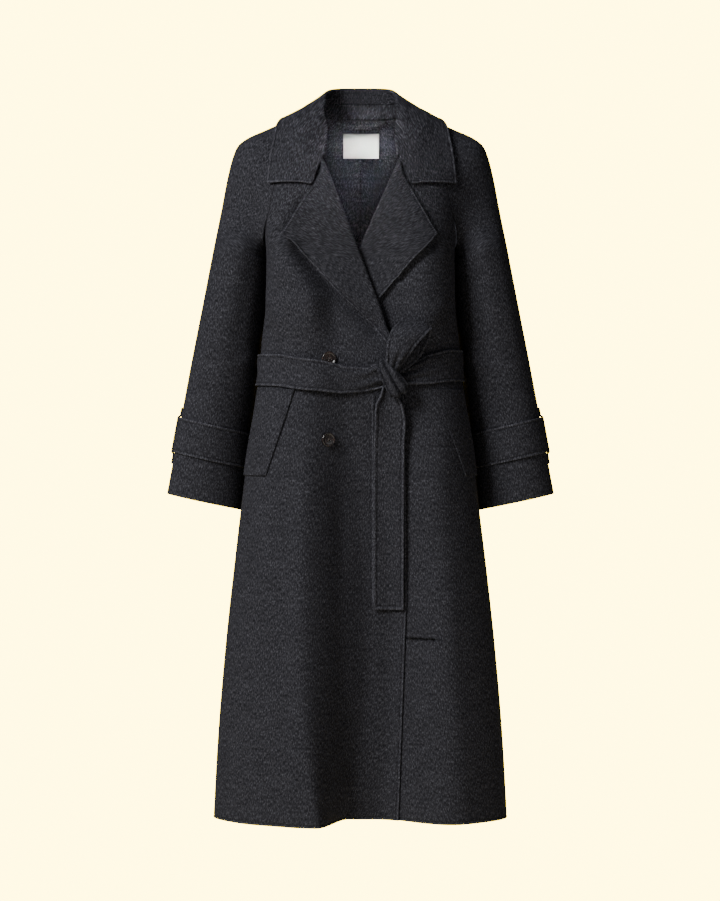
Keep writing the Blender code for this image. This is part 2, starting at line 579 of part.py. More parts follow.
def build_knot(material, parent):
    """The wrap of the knot, a closed band of cloth, its ends open along the slope."""
    steps = np.linspace(0, 360, KNOT_STEPS, endpoint=False)
    half, shift = KNOT.read("half_length", steps), KNOT.read("shift", steps)
    slope = math.radians(KNOT_SLOPE)
    along = np.array([math.cos(slope), 0.0, -math.sin(slope)])
    axis = np.array([math.sin(slope), 0.0, math.cos(slope)])
    centre = front_point(KNOT_X, KNOT_Z, 0.0) - np.array([0.0, KNOT_OUT, 0.0])
    across = np.cos(np.radians(steps))[:, None] * KNOT_HALF
    depth = np.sin(np.radians(steps))[:, None] * KNOT_DEPTH
    middle = centre - along * across - np.array([0.0, 1.0, 0.0]) * depth
    rows = [middle + axis * (half * t + shift)[:, None] for t in np.linspace(-1, 1, KNOT_ROWS)]
    return sheet("belt_knot", np.stack(rows), material, parent, closed=True)


# The bow's loop by its length: left and right edge, how much further right the back layer reaches, and
# how far each layer lies off the form.
LOOP = Table("t left_x left_z right_x right_z spread front back", [
    (-0.16, 50, -435, 58, -441, 0, 20.5, 15.4), (0.0, 52, -423, 62, -433, 5, 21.5, 16.2),
    (0.25, 44, -406, 75, -420, 16, 25, 12.6), (0.5, 44.5, -385, 89, -401, 14, 31, 12.6),
    (0.75, 49, -366, 102, -383, 9, 29, 12.8), (1.0, 63, -352.5, 112, -370, 3, 22, 14.5)])
LOOP_ROWS, LOOP_COLUMNS = 9, 4
LOOP_CROWN = 1.5                 # the middle of a layer stands this far above its edges
LOOP_TURN = (2.5, 0.0, 5.0)      # the fold at the top reaches this far past the layers


def build_loop(material, parent):
    """The bow's loop, a band that rises in front, turns at the top and comes back down behind."""
    t = np.linspace(LOOP.values[0, 0], 1, LOOP_ROWS + 1)[:, None]
    across = np.linspace(0, 1, LOOP_COLUMNS + 1)[None, :]

    def strip(column, spread):
        right_x = LOOP.read("right_x", t) + spread * LOOP.read("spread", t)
        x = LOOP.read("left_x", t) + (right_x - LOOP.read("left_x", t)) * across
        z = LOOP.read("left_z", t) + (LOOP.read("right_z", t) - LOOP.read("left_z", t)) * across
        return front_point(x, z, LOOP.read(column, t) - LOOP_CROWN * (2 * across - 1) ** 2)

    front, back = strip("front", 0.0), strip("back", 1.0)
    turn = (front[-1] + back[-1]) / 2 + np.array(LOOP_TURN)
    return sheet("belt_bow_loop", np.concatenate([front, turn[None], back[::-1]]), material, parent)


# The tails by height: middle, width, and how far they lie off the form.
FRONT_TAIL = Table("z x width out", [
    (-832, 51, 52, 7.5), (-700, 50, 52, 7.5), (-560, 49, 52, 7.5), (-510, 48.5, 52, 7.5),
    (-485, 48, 50, 7.8), (-472, 49, 34, 8.2), (-460, 51, 24, 8.2)])
BACK_TAIL = Table("z x width out", [
    (-827, 47, 50, 4.0), (-700, 46, 50, 4.0), (-560, 45, 50, 4.0), (-500, 43, 50, 4.0),
    (-472, 41, 44, 4.4)])
TAIL_ROWS, TAIL_COLUMNS = 14, 4


def build_tail(name, table, material, parent):
    """A tail of the belt hanging in front of the coat."""
    z = np.linspace(table.values[0, 0], table.values[-1, 0], TAIL_ROWS + 1)[:, None]
    across = np.linspace(-0.5, 0.5, TAIL_COLUMNS + 1)[None, :]
    x = table.read("x", z) + table.read("width", z) * across
    return sheet(name, front_point(x, z, table.read("out", z)), material, parent)


# ---------------------------------------------------------------- cuffs
STRAP_FROM, STRAP_TO = 0.165, 0.305      # places along the arm
STRAP_OUT, STRAP_ROWS = WALL + 3 * CLEAR, 3
# The keeper over the strap, by height: how far it lies off the sleeve's outer line.
KEEPER = Table("z out", [
    (-588, 3.4), (-574, 5.2), (-560, 8.2), (-545, 9.6), (-525, 9.0), (-508, 6.6), (-492, 3.4)])
KEEPER_WIDTH, KEEPER_WALL = 10.0, 2.0
KEEPER_ROWS, KEEPER_COLUMNS = 10, 3
SLEEVE_OUT = (-0.981, 0.0, 0.194)        # way out of the right sleeve at its outer line


def arm_ring(s, out):
    """A whole ring of the sleeve, moved out along its own normal."""
    points = np.concatenate([arm_section(s, -1), arm_section(s, 1)[::-1]])
    apart = np.linalg.norm(points - np.roll(points, 1, axis=0), axis=1)
    points = points[apart > 2 * SLEEVE_SEAM]
    tangent = unit(np.roll(points, -1, axis=0) - np.roll(points, 1, axis=0))
    small = 0.05
    run_x, run_z = (float(ARM.read(column, s - small) - ARM.read(column, s + small))
                    for column in ("over_x", "over_z"))
    return points + out * unit(np.cross(tangent, unit(np.array([-run_x, 0.0, run_z]))))


def build_strap(name, side, material, parent):
    """The strap round a sleeve above the cuff."""
    grid = np.stack([arm_ring(s, STRAP_OUT) for s in np.linspace(STRAP_FROM, STRAP_TO, STRAP_ROWS + 1)])
    if side > 0:
        grid = grid * np.array([-1.0, 1.0, 1.0])
    return sheet(name, grid, material, parent, closed=True)


def build_keeper(name, side, material, parent):
    """The loop that holds the strap, on the outer line of the sleeve."""
    z = np.linspace(KEEPER.values[0, 0], KEEPER.values[-1, 0], KEEPER_ROWS + 1)
    s = np.interp(z, ARM.values[:, ARM.columns.index("over_z")], ARM.values[:, 0])
    line = np.stack([-ARM.read("over_x", s), ARM.read("over_y", s), z], axis=-1)
    line = line + np.array(SLEEVE_OUT) * KEEPER.read("out", z)[:, None]
    across = np.linspace(-0.5, 0.5, KEEPER_COLUMNS + 1)[:, None, None] * KEEPER_WIDTH
    grid = line + np.array([0.0, 1.0, 0.0]) * across
    if side > 0:
        grid = grid * np.array([-1.0, 1.0, 1.0])
    return sheet(name, grid, material, parent, wall=KEEPER_WALL)


# ---------------------------------------------------------------- pocket welts, label, hanger loop, buttons
# Welts by height: angles of the edge towards the middle and of the edge towards the side seam.
WELT_RIGHT = Table("z inner outer", [(-607, -62, -86), (-463, -48, -76)])
WELT_LEFT = Table("z inner outer", [(-607, 70, 88), (-463, 52, 76)])
WELT_ROWS, WELT_COLUMNS = 6, 5
LABEL_WALL, LABEL_ROWS, LABEL_COLUMNS = 0.8, 4, 6
LABEL_LEFT, LABEL_RIGHT, LABEL_LOW, LABEL_HIGH = -28.5, 30.5, -58.0, -17.0
HANGER_WIDTH, HANGER_WALL, HANGER_COLUMNS = 6.4, 1.4, 12
HANGER_ANGLE = 34.0              # half its length, in degrees round the back neck
HANGER_SAG, HANGER_SLACK = 8.0, 9.0      # down, and in from the wall


def build_welt(name, table, material, parent):
    """A slanted pocket welt on a front, between its two edges."""
    z = np.linspace(table.values[0, 0], table.values[-1, 0], WELT_ROWS + 1)[:, None]
    across = np.linspace(0, 1, WELT_COLUMNS + 1)[None, :]
    inner, outer = table.straight("inner", z), table.straight("outer", z)
    return sheet(name, layer(inner + (outer - inner) * across, z, WALL + 2 * CLEAR), material, parent)


def build_label(material, parent):
    """The woven label sewn inside the back, under the neckline."""
    x = np.linspace(LABEL_LEFT, LABEL_RIGHT, LABEL_COLUMNS + 1)[None, :]
    z = np.linspace(LABEL_LOW, LABEL_HIGH, LABEL_ROWS + 1)[:, None]
    angle = 180 - np.degrees(np.arcsin(x / BODY.read("back", z)))
    points = layer(angle, z, -(WALL + LABEL_WALL) / 2 - 3 * CLEAR)
    return sheet("neck_label", points, material, parent, wall=LABEL_WALL)


def build_hanger(material, parent):
    """The hanger loop inside the back neck, a narrow band that sags between its ends.

    Its ends lie along the wall, and its middle hangs upright."""
    t = np.linspace(-1, 1, HANGER_COLUMNS + 1)
    slack = 1 - t * t
    out = -(WALL + HANGER_WALL) / 2 - 4 * CLEAR - HANGER_SLACK * slack
    across = np.array([[-0.5], [0.0], [0.5]]) * HANGER_WIDTH
    points = layer(180 - HANGER_ANGLE * t, across - HANGER_SAG * slack, out)
    points[..., :2] += slack[:, None] ** 2 * (points[1, :, :2] - points[..., :2])
    return sheet("hanger_loop", points, material, parent, wall=HANGER_WALL)


# Half the outline of a button, from the middle of its back round the rim to the middle of its face.
BUTTON = Table("point radius height", [
    (0, 0, 0), (1, 9.4, 0), (2, 12, 1.3), (3, 12, 2.6), (4, 10.9, 4), (5, 9.4, 4), (6, 8.2, 2.9),
    (7, 0, 2.9)])
BUTTON_STEPS, HOLE_STEPS = 20, 8
HOLE_RADIUS, HOLE_OFFSET, HOLE_DEPTH = 1.1, 2.5, 12.0
# Where the buttons sit, and how far they stand off the cloth. The lower one bridges the fold's flank.
BUTTON_PLACES = {"button_upper": (-52.6, -412.6, 2 * CLEAR), "button_lower": (-55.4, -546.8, 4 * CLEAR)}


def build_button(name, x, z, off, material, parent):
    """A four-hole button: a turned disc with a raised rim, and four holes through it."""
    mesh = bpy.data.meshes.new(name)
    body = bmesh.new()
    verts = [body.verts.new((radius * MM, 0.0, height * MM)) for _, radius, height in BUTTON.values]
    edges = [body.edges.new(pair) for pair in zip(verts, verts[1:])]
    bmesh.ops.spin(body, geom=verts + edges, cent=(0, 0, 0), axis=(0, 0, 1), angle=2 * math.pi,
                   steps=BUTTON_STEPS)
    bmesh.ops.remove_doubles(body, verts=body.verts, dist=1e-6)
    bmesh.ops.recalc_face_normals(body, faces=body.faces)
    body.to_mesh(mesh)
    body.free()
    item = new_object(name, mesh, material, parent)
    cutter_mesh = bpy.data.meshes.new(name + "_holes")
    holes = bmesh.new()
    for across, upward in ((-1, -1), (-1, 1), (1, -1), (1, 1)):
        made = bmesh.ops.create_cone(holes, cap_ends=True, segments=HOLE_STEPS, radius1=HOLE_RADIUS * MM,
                                     radius2=HOLE_RADIUS * MM, depth=HOLE_DEPTH * MM)
        place = (across * HOLE_OFFSET * MM, upward * HOLE_OFFSET * MM, 0)
        bmesh.ops.translate(holes, verts=made["verts"], vec=place)
    holes.to_mesh(cutter_mesh)
    holes.free()
    cutter = new_object(name + "_holes", cutter_mesh, material, parent)
    cutter.hide_render = True
    cut = item.modifiers.new("holes", "BOOLEAN")
    cut.object, cut.operation, cut.solver = cutter, "DIFFERENCE", "EXACT"
    base = front_point(x, z, WALL / 2 + off)
    step = 4.0
    right = unit(front_point(x + step, z, 0) - front_point(x - step, z, 0))
    up = unit(front_point(x, z + step, 0) - front_point(x, z - step, 0))
    normal = unit(np.cross(right, up))
    place = np.eye(4)
    place[:3] = np.stack([right, np.cross(normal, right), normal, base * MM], axis=1)
    for placed in (item, cutter):
        placed.matrix_world = Matrix(place.tolist())
    return item


# ---------------------------------------------------------------- putting the coat together
def clear_scene():
    """Removes every object, and makes the coat's collection."""
    for item in list(bpy.data.objects):
        bpy.data.objects.remove(item)
    made = bpy.data.collections.new(COLLECTION)
    bpy.context.scene.collection.children.link(made)


def build_coat():
    """Every piece of the coat, on an empty where the wearer's shoulders carry it."""
    clear_scene()
    wool = plain_material("charcoal_wool", (0.035, 0.036, 0.040))
    horn = plain_material("brown_horn", (0.025, 0.018, 0.014), 0.25)
    woven = plain_material("cream_label", (0.70, 0.66, 0.58))
    origin = bpy.data.objects.new("shoulders", None)
    bpy.data.collections[COLLECTION].objects.link(origin)
    build_front("front_right", -1, wool, origin)
    build_front("front_left", 1, wool, origin)
    build_back("back_right", -1, wool, origin)
    build_back("back_left", 1, wool, origin)
    for side, word in ((-1, "right"), (1, "left")):
        build_sleeve(f"sleeve_front_{word}", side, -1, wool, origin)
        build_sleeve(f"sleeve_back_{word}", side, 1, wool, origin)
        build_strap(f"cuff_strap_{word}", side, wool, origin)
        build_keeper(f"strap_keeper_{word}", side, wool, origin)
    build_stand(wool, origin)
    build_leaf(wool, origin)
    build_band(wool, origin)
    build_knot(wool, origin)
    build_loop(wool, origin)
    build_tail("belt_tail_front", FRONT_TAIL, wool, origin)
    build_tail("belt_tail_back", BACK_TAIL, wool, origin)
    build_welt("pocket_welt_right", WELT_RIGHT, wool, origin)
    build_welt("pocket_welt_left", WELT_LEFT, wool, origin)
    build_label(woven, origin)
    build_hanger(wool, origin)
    for name, (x, z, off) in BUTTON_PLACES.items():
        build_button(name, x, z, off, horn, origin)


build_coat()
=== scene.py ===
"""Looks of a long belted wrap coat in charcoal double-faced wool, hanging hollow as if worn.

Sizes are in millimetres until a mesh is made. The front faces -Y and +X is the wearer's left.
"""

import math

import bpy
import numpy as np
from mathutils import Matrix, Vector


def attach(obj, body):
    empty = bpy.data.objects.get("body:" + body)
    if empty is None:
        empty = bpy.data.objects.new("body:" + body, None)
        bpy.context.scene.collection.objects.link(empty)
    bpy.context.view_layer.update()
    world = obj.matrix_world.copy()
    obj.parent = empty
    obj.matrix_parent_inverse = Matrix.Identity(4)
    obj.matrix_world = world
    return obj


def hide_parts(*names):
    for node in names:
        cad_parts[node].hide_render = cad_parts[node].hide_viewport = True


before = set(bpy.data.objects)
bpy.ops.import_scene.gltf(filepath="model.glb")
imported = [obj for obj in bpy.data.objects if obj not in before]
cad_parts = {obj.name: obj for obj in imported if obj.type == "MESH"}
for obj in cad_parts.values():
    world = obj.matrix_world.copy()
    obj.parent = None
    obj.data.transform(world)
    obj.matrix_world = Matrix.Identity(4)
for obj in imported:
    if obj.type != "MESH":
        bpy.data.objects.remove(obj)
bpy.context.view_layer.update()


# ================================================================ the backs
# Two back panels of double-faced wool, joined by the centre back seam. Double-faced cloth has no lining:
# both its faces show, and its edges are folded in and felled by hand, so they are soft and rounded.
MM = 0.001
SIDES = (-1, "right"), (1, "left")
WALL = 2.6                      # thickness of the cloth
HEM_Z, UNDERARM_Z, NECK_Z, BACK_NECK_Z = -1187.0, -245.0, -8.0, 4.0
SIDE_ANGLE = 97.0               # side seam, in degrees round from the centre front


def hermite(s, start, end, leave, arrive, length=1):
    """Points on cubic curves from their ends and the slopes there, s from 0 to 1 along a length."""
    return (start * (1 + 2 * s) * (1 - s) ** 2 + end * s * s * (3 - 2 * s)
            + length * s * (1 - s) * (leave * (1 - s) - arrive * s))


class Table:
    """Sizes by row, read between the rows along a smooth curve with no overshoot."""

    def __init__(self, columns, rows):
        self.columns = columns.split()
        self.values = np.array(sorted(rows), float)

    def straight(self, column, at):
        """The column's value at each position of the first column, straight between the rows."""
        return np.interp(at, self.values[:, 0], self.values[:, self.columns.index(column)])

    def read(self, column, at):
        """The same along a cubic curve whose slopes are the rows' weighted harmonic means."""
        x = self.values[:, 0]
        y = self.values[:, self.columns.index(column)]
        step = np.diff(x)
        slope = np.diff(y) / step
        left, right = slope[:-1], slope[1:]
        same_way = left * right > 0
        left, right = np.where(same_way, left, 1.0), np.where(same_way, right, 1.0)
        w_left, w_right = 2 * step[1:] + step[:-1], step[1:] + 2 * step[:-1]
        mean = (w_left + w_right) / (w_left / left + w_right / right)
        tangent = np.zeros_like(y)
        tangent[1:-1] = np.where(same_way, mean, 0.0)
        tangent[0], tangent[-1] = slope[0], slope[-1]
        at = np.clip(np.asarray(at, float), x[0], x[-1])
        i = np.clip(np.searchsorted(x, at, side="right") - 1, 0, len(step) - 1)
        return hermite((at - x[i]) / step[i], y[i], y[i + 1], tangent[i], tangent[i + 1], step[i])


def ease(t):
    """0 below 0, 1 above 1, smooth between."""
    t = np.clip(t, 0.0, 1.0)
    return t * t * (3 - 2 * t)


def bump(x, centre, width):
    """A soft hill, 1 at its centre."""
    return np.exp(-(((x - centre) / width) ** 2))


# The coat's form, one ring at each height: half width, depth to the front and back, the exponent that
# squares it, the pinch by the sleeve, the long front fold with its depth, place and slopes, and the
# depth of the back's folds.
BODY = Table("z half front back square pinch hollow fold_x fold_w flat rise back_fold", [
    (HEM_Z, 246, 148, 158, 1.8, 0, 112, -47, 52, 40, 160, 14),
    (-1057, 239, 143, 152, 1.85, 0, 98, -46, 100, 30, 140, 12),
    (-887, 225, 135, 143, 1.95, 0, 84, -43, 130, 20, 120, 9),
    (-751, 210, 128, 133, 2.1, 0, 70, -46, 124, 20, 120, 6),
    (-663, 200, 123, 126, 2.2, 0, 57, -50, 110, 22, 120, 4),
    (-547, 187, 118, 116, 2.35, 0, 38, -56, 92, 30, 130, 2),
    (-465, 175, 114, 106, 2.4, 0, 20, -62, 78, 40, 150, 0),
    (-428, 169, 111, 101, 2.4, 0, 12, -64, 70, 40, 160, 0),
    (-385, 169, 115, 105, 2.5, 3, 17, -62, 56, 65, 115, 0),
    (-320, 168, 126, 112, 2.8, 16, 29, -64, 50, 70, 110, 0),
    (UNDERARM_Z, 167, 125, 114, 3.0, 20, 27, -102, 48, 105, 110, 0),
    (-200, 169, 119, 114, 2.9, 16, 17, -112, 54, 105, 120, 0),
    (-160, 170, 111, 113, 2.8, 8, 8, -104, 60, 50, 160, 0),
    (-113, 170, 97, 109, 2.7, 0, 0, -90, 70, 40, 160, 0),
    (-76, 160, 82, 101, 2.6, 0, 0, -80, 72, 40, 160, 0),
    (-40, 140, 62, 89, 2.5, 0, 0, -70, 72, 40, 160, 0),
    (NECK_Z, 118, 42, 77, 2.5, 0, 0, -70, 72, 40, 160, 0),
    (BACK_NECK_Z, 104, 30, 68, 2.5, 0, 0, -70, 72, 40, 160, 0)])
PINCH_ANGLE, PINCH_WIDTH = 100.0, 26.0
BACK_FOLD_ANGLES, BACK_FOLD_WIDTH = (-152.0, 150.0), 13.0

# Creases worked into the cloth: angle and height of both ends, half width in degrees, depth.
# A ridge has a depth above 0, and a trough one below it.
BODY_CREASES = [
    (-63, -170, -52, -300, 8, 3.0),
    (-58, -470, -66, -1187, 9, 3.5), (-40, -500, -38, -1187, 8, 3.0), (-82, -520, -86, -1187, 8, 3.0),
    (-48, -480, -52, -1050, 6, -2.0), (34, -500, 33, -1187, 9, 3.5), (58, -540, 62, -1187, 10, -3.0),
    (80, -600, 84, -1187, 7, 3.0), (-70, -290, -44, -400, 6, 2.0), (60, -290, 40, -400, 6, 2.0),
    (-52, -395, -47, -330, 3, -1.2), (-66, -395, -70, -320, 4, -1.2), (64, -395, 60, -330, 3, -1.2),
    (38, -180, 44, -400, 8, 4.0), (-17, -520, -12, -1150, 7, -3.0),
    (-120, -300, -128, -400, 7, 3.0), (122, -300, 130, -400, 7, 3.0), (-140, -350, -168, -415, 5, 2.5),
    (144, -360, 166, -415, 5, 2.5), (-112, -460, -118, -1187, 8, 3.0), (116, -470, 124, -1187, 8, 3.0),
    (-170, -460, -172, -900, 6, 2.5), (174, -480, 170, -1187, 7, 3.0), (-136, -450, -134, -640, 4, -2.0),
    (132, -450, 136, -620, 4, -2.0)]

# Valleys where the front dips in along a lapel's edge: x and height of both ends, half width and depth.
FRONT_VALLEYS = [(-124, -212, 44, -380, 13, 10.0), (-136, -214, -86, -134, 9, 4.5),
                 (128, -214, 62, -286, 9, 4.0)]
VALLEY_FADE, CREASE_FADE = 0.12, 0.3     # shares of a line's length over which it fades out at its ends


def valleys(x, z):
    """Depth of the valleys: each is a bell curve across its line, fading over the line's ends."""
    total = np.zeros(np.broadcast(x, z).shape)
    for x_0, z_0, x_1, z_1, width, depth in FRONT_VALLEYS:
        length = math.hypot(x_1 - x_0, z_1 - z_0)
        run = np.array([x_1 - x_0, z_1 - z_0]) / length
        along = ((x - x_0) * run[0] + (z - z_0) * run[1]) / length
        off = (x - x_0) * run[1] - (z - z_0) * run[0]
        ends = ease(along / VALLEY_FADE) * ease((1 - along) / VALLEY_FADE)
        total = total + depth * ends * bump(off, 0, width)
    return total


def creases(angle, z, table):
    """Depth of all creases: each is a bell curve across its line, fading over the line's ends."""
    total = np.zeros(np.broadcast(angle, z).shape)
    for angle_0, z_0, angle_1, z_1, width, depth in table:
        along = (z - z_0) / (z_1 - z_0)
        middle = angle_0 + (angle_1 - angle_0) * np.clip(along, 0, 1)
        ends = ease(along / CREASE_FADE) * (1.0 if z_1 <= HEM_Z else ease((1 - along) / CREASE_FADE))
        total = total + depth * ends * bump(angle, middle, width)
    return total


def ring(angle, z):
    """x and y of the form at an angle, 0 at the centre front and + to the wearer's left.

    A superellipse in polar form, less the side pinch, plus folds and creases; the long front fold
    then moves the points back."""
    a = np.radians(angle)
    depth = np.where(np.cos(a) > 0, BODY.read("front", z), BODY.read("back", z))
    n = BODY.read("square", z)
    r = ((np.abs(np.sin(a)) / BODY.read("half", z)) ** n + (np.abs(np.cos(a)) / depth) ** n) ** (-1 / n)
    r = r - BODY.read("pinch", z) * bump(np.abs(angle), PINCH_ANGLE, PINCH_WIDTH)
    for centre in BACK_FOLD_ANGLES:
        r = r + BODY.read("back_fold", z) * bump(angle, centre, BACK_FOLD_WIDTH)
    r = r + creases(angle, z, BODY_CREASES)
    x, y = r * np.sin(a), -r * np.cos(a)
    start = BODY.read("fold_x", z) - BODY.read("fold_w", z) / 2
    steep = ease((x - start) / BODY.read("fold_w", z))
    slow = 1 - ease((x - start - BODY.read("fold_w", z) - BODY.read("flat", z)) / BODY.read("rise", z))
    return x, y + np.where(np.cos(a) > 0, BODY.read("hollow", z) * steep * slow + valleys(x, z), 0.0)


def layer(angle, z, out=0.0):
    """The form's points moved out along the ring's own normal, as x, y, z in the last axis."""
    small = 0.2
    angle, z, out = (values.astype(float) for values in np.broadcast_arrays(angle, z, out))
    x, y = ring(angle, z)
    (x1, y1), (x0, y0) = ring(angle + small, z), ring(angle - small, z)
    length = np.hypot(x1 - x0, y1 - y0)
    return np.stack([x + out * (y1 - y0) / length, y - out * (x1 - x0) / length, z], axis=-1)


def even_angles(start, end, z, share):
    """Angles from start to end for one row each, spaced by the cloth's length along the row."""
    dense = start[:, None] + (end - start)[:, None] * np.linspace(0, 1, 181)
    x, y = ring(dense, z[:, None])
    length = np.hypot(np.diff(x, axis=1), np.diff(y, axis=1))
    along = np.concatenate([np.zeros((len(z), 1)), np.cumsum(length, axis=1)], axis=1)
    return np.stack([np.interp(share * a[-1], a, d) for a, d in zip(along, dense)])


NEAR_STEPS = 10, 4              # rows close to a cut edge, on a wide piece and on a narrow one
NARROW = 30.0                   # width below which a piece is narrow
NEAR_PLACES = [0.5, 1.2, 2.2, 3.2, 4.0, 4.8, 5.6, 6.4, 7.4, 8.6]    # their distances from the edge


def shares(count, length, first=True, last=True):
    """Places from 0 to 1, with extra ones close to a cut end so that the edge can be rounded."""
    near = np.array(NEAR_PLACES[:NEAR_STEPS[length < NARROW]]) / length
    inner = np.linspace(0, 1, count)
    spread = near[-1] * (1.25 if first else 0), 1 - near[-1] * (1.25 if last else 0)
    inner = spread[0] + (spread[1] - spread[0]) * inner
    parts = [[0.0], near] if first else []
    parts += [inner] + ([1 - near[::-1], [1.0]] if last else [])
    return np.concatenate(parts)


BACK_SEAM = Table("z angle", [
    (UNDERARM_Z, SIDE_ANGLE), (-225, 108), (-200, 119), (-150, 129), (-100, 134), (-50, 138),
    (BACK_NECK_Z, 143)])


def srgb(text):
    """An sRGB hex colour as linear red, green, blue and an alpha of 1."""
    c = np.array([int(text[i:i + 2], 16) / 255 for i in (0, 2, 4)])
    return (*np.where(c <= 0.04045, c / 12.92, ((c + 0.055) / 1.055) ** 2.4), 1.0)


def add_node(tree, kind, inputs=(), **settings):
    """Adds a node with its settings, and gives each input a value or a link from another socket."""
    made = tree.nodes.new(kind)
    for name, value in settings.items():
        setattr(made, name, value)
    for socket, value in dict(inputs).items():
        if isinstance(value, bpy.types.NodeSocket):
            tree.links.new(value, made.inputs[socket])
        else:
            made.inputs[socket].default_value = value
    return made


def set_ramp(ramp, stops):
    """Gives a colour ramp its stops, each a place and a colour."""
    elements = ramp.color_ramp.elements
    while len(elements) < len(stops):
        elements.new(0.5)
    for element, (place, colour) in zip(elements, stops):
        element.position, element.color = place, colour


def new_material(name):
    """A new material, with its node tree and its surface shader."""
    material = bpy.data.materials.new(name)
    material.use_nodes = True
    return material, material.node_tree, material.node_tree.nodes["Principled BSDF"]


def set_sockets(surface, values):
    """Gives the surface shader's own sockets their uniform values."""
    for socket, value in values.items():
        surface.inputs[socket].default_value = value


def greys(stops):
    """Colour ramp stops from places and brightnesses."""
    return [(place, (level, level, level, 1)) for place, level in stops]


STROKES = (1.9, 6.5, 1.5), (1.2, 3.6, 1.0)     # width and length of the nap's strokes, and their detail


def brushed_wool(name, dark, middle, light):
    """Brushed double-faced wool: dark and light fibres spun together, brushed up into a nap.

    The nap lies along v of the grain map, in two sizes of strokes, both coarser than the real fibres so
    that they show. Towards a free edge the colour is painted lighter, a painted highlight on the rounded
    edge, with a painted dark line of shade in the groove of the stitches; towards a seam it is painted
    darker, shade in the seam's groove."""
    material, tree, surface = new_material(name)
    grain = add_node(tree, "ShaderNodeUVMap", uv_map="grain")
    sway = add_node(tree, "ShaderNodeTexNoise", {"Vector": grain.outputs[0], "Scale": 1 / 0.045,
                                                 "Detail": 1.0})
    lean = add_node(tree, "ShaderNodeVectorMath", {0: sway.outputs["Color"], 1: (0.006, 0.002, 0.0)},
                    operation="MULTIPLY")
    place = add_node(tree, "ShaderNodeVectorMath", {0: grain.outputs[0], 1: lean.outputs[0]},
                     operation="ADD")
    strokes = []
    for width, length, detail in STROKES:
        scaled = add_node(tree, "ShaderNodeVectorMath",
                          {0: place.outputs[0], 1: (1 / (width * MM), 1 / (length * MM), 1.0)},
                          operation="MULTIPLY")
        strokes.append(add_node(tree, "ShaderNodeTexNoise",
                                {"Vector": scaled.outputs[0], "Scale": 1.0, "Detail": detail,
                                 "Roughness": 0.6}))
    mixed = add_node(tree, "ShaderNodeMix", {"Factor": 0.5, "A": strokes[0].outputs["Fac"],
                                             "B": strokes[1].outputs["Fac"]}, data_type="FLOAT")
    ramp = add_node(tree, "ShaderNodeValToRGB", {"Fac": mixed.outputs[0]})
    set_ramp(ramp, [(0.36, srgb(dark)), (0.50, srgb(middle)), (0.66, srgb(light))])
    clouds = add_node(tree, "ShaderNodeTexNoise", {"Vector": grain.outputs[0], "Scale": 1 / 0.03,
                                                   "Detail": 3.0})
    shade = add_node(tree, "ShaderNodeMapRange", {"Value": clouds.outputs["Fac"], "From Min": 0.3,
                                                  "From Max": 0.7, "To Min": 0.9, "To Max": 1.1})
    tone = add_node(tree, "ShaderNodeVectorMath", {0: ramp.outputs["Color"], "Scale": shade.outputs[0]},
                    operation="SCALE")
    # Painted highlight on a free edge, and painted shade in the groove of its line of stitches.
    edge = add_node(tree, "ShaderNodeAttribute", attribute_name="edge")
    far = add_node(tree, "ShaderNodeMath", {0: edge.outputs["Fac"], 1: 0.5}, operation="MULTIPLY")
    line = add_node(tree, "ShaderNodeValToRGB", {"Fac": far.outputs[0]})
    set_ramp(line, greys([(0.0, 1.7), (0.18, 1.45), (0.36, 1.08), (0.50, 0.62), (0.62, 1)]))
    # Painted shade in a seam's groove: darker towards the seam.
    seam = add_node(tree, "ShaderNodeAttribute", attribute_name="seam")
    close = add_node(tree, "ShaderNodeMapRange", {"Value": seam.outputs["Fac"], "From Min": 0.0,
                                                  "From Max": 1.8, "To Min": 0.62, "To Max": 1.0})
    lines = add_node(tree, "ShaderNodeMath", {0: line.outputs["Color"], 1: close.outputs[0]},
                     operation="MULTIPLY")
    drawn = add_node(tree, "ShaderNodeVectorMath", {0: tone.outputs[0], "Scale": lines.outputs[0]},
                     operation="SCALE")
    height = add_node(tree, "ShaderNodeMath", {0: mixed.outputs[0], 1: lines.outputs[0]}, operation="ADD")
    tree.links.new(drawn.outputs[0], surface.inputs["Base Color"])
    relief = add_node(tree, "ShaderNodeBump", {"Height": height.outputs[0], "Strength": 0.55,
                                               "Distance": 0.0009})
    tree.links.new(relief.outputs[0], surface.inputs["Normal"])
    set_sockets(surface, {"Roughness": 0.92, "IOR": 1.45, "Specular IOR Level": 0.0, "Sheen Weight": 0.02,
                          "Sheen Roughness": 0.45, "Sheen Tint": srgb("a9aab2")})
    return material


charcoal_wool = brushed_wool("charcoal_double_faced_wool", "1a1a1d", "2b2b2f", "4c4c52")
STITCH_DEPTH, STITCH_WIDTH = 0.5, 1.1
SEAM_SINK, SEAM_WIDTH = 0.28, 2.0         # share of the wall that a seam's groove takes, and its half width
THIN_RIM = 0.12                           # place on the rounding at which an edge ends, not quite sharp
FAR = 60.0                                # distances to an edge are counted no further than this
UNSTITCHED = 9                            # value of the edge attribute on a piece with no line of stitches
BACK_SHIFT = 0.37                         # offset of the grain on the cloth's other face
PLUMB_LEAN, PLUMB_TURN = 0.55, 30.0       # how a plumb grain follows the depth, and where it changes sides


def unit(vectors):
    """Vectors of length 1."""
    return vectors / np.maximum(np.linalg.norm(vectors, axis=-1, keepdims=True), 1e-9)


def normals_of(grid):
    """The grid's normals: rows' direction crossed with columns' direction."""
    return unit(np.cross(np.gradient(grid, axis=0), np.gradient(grid, axis=1)))


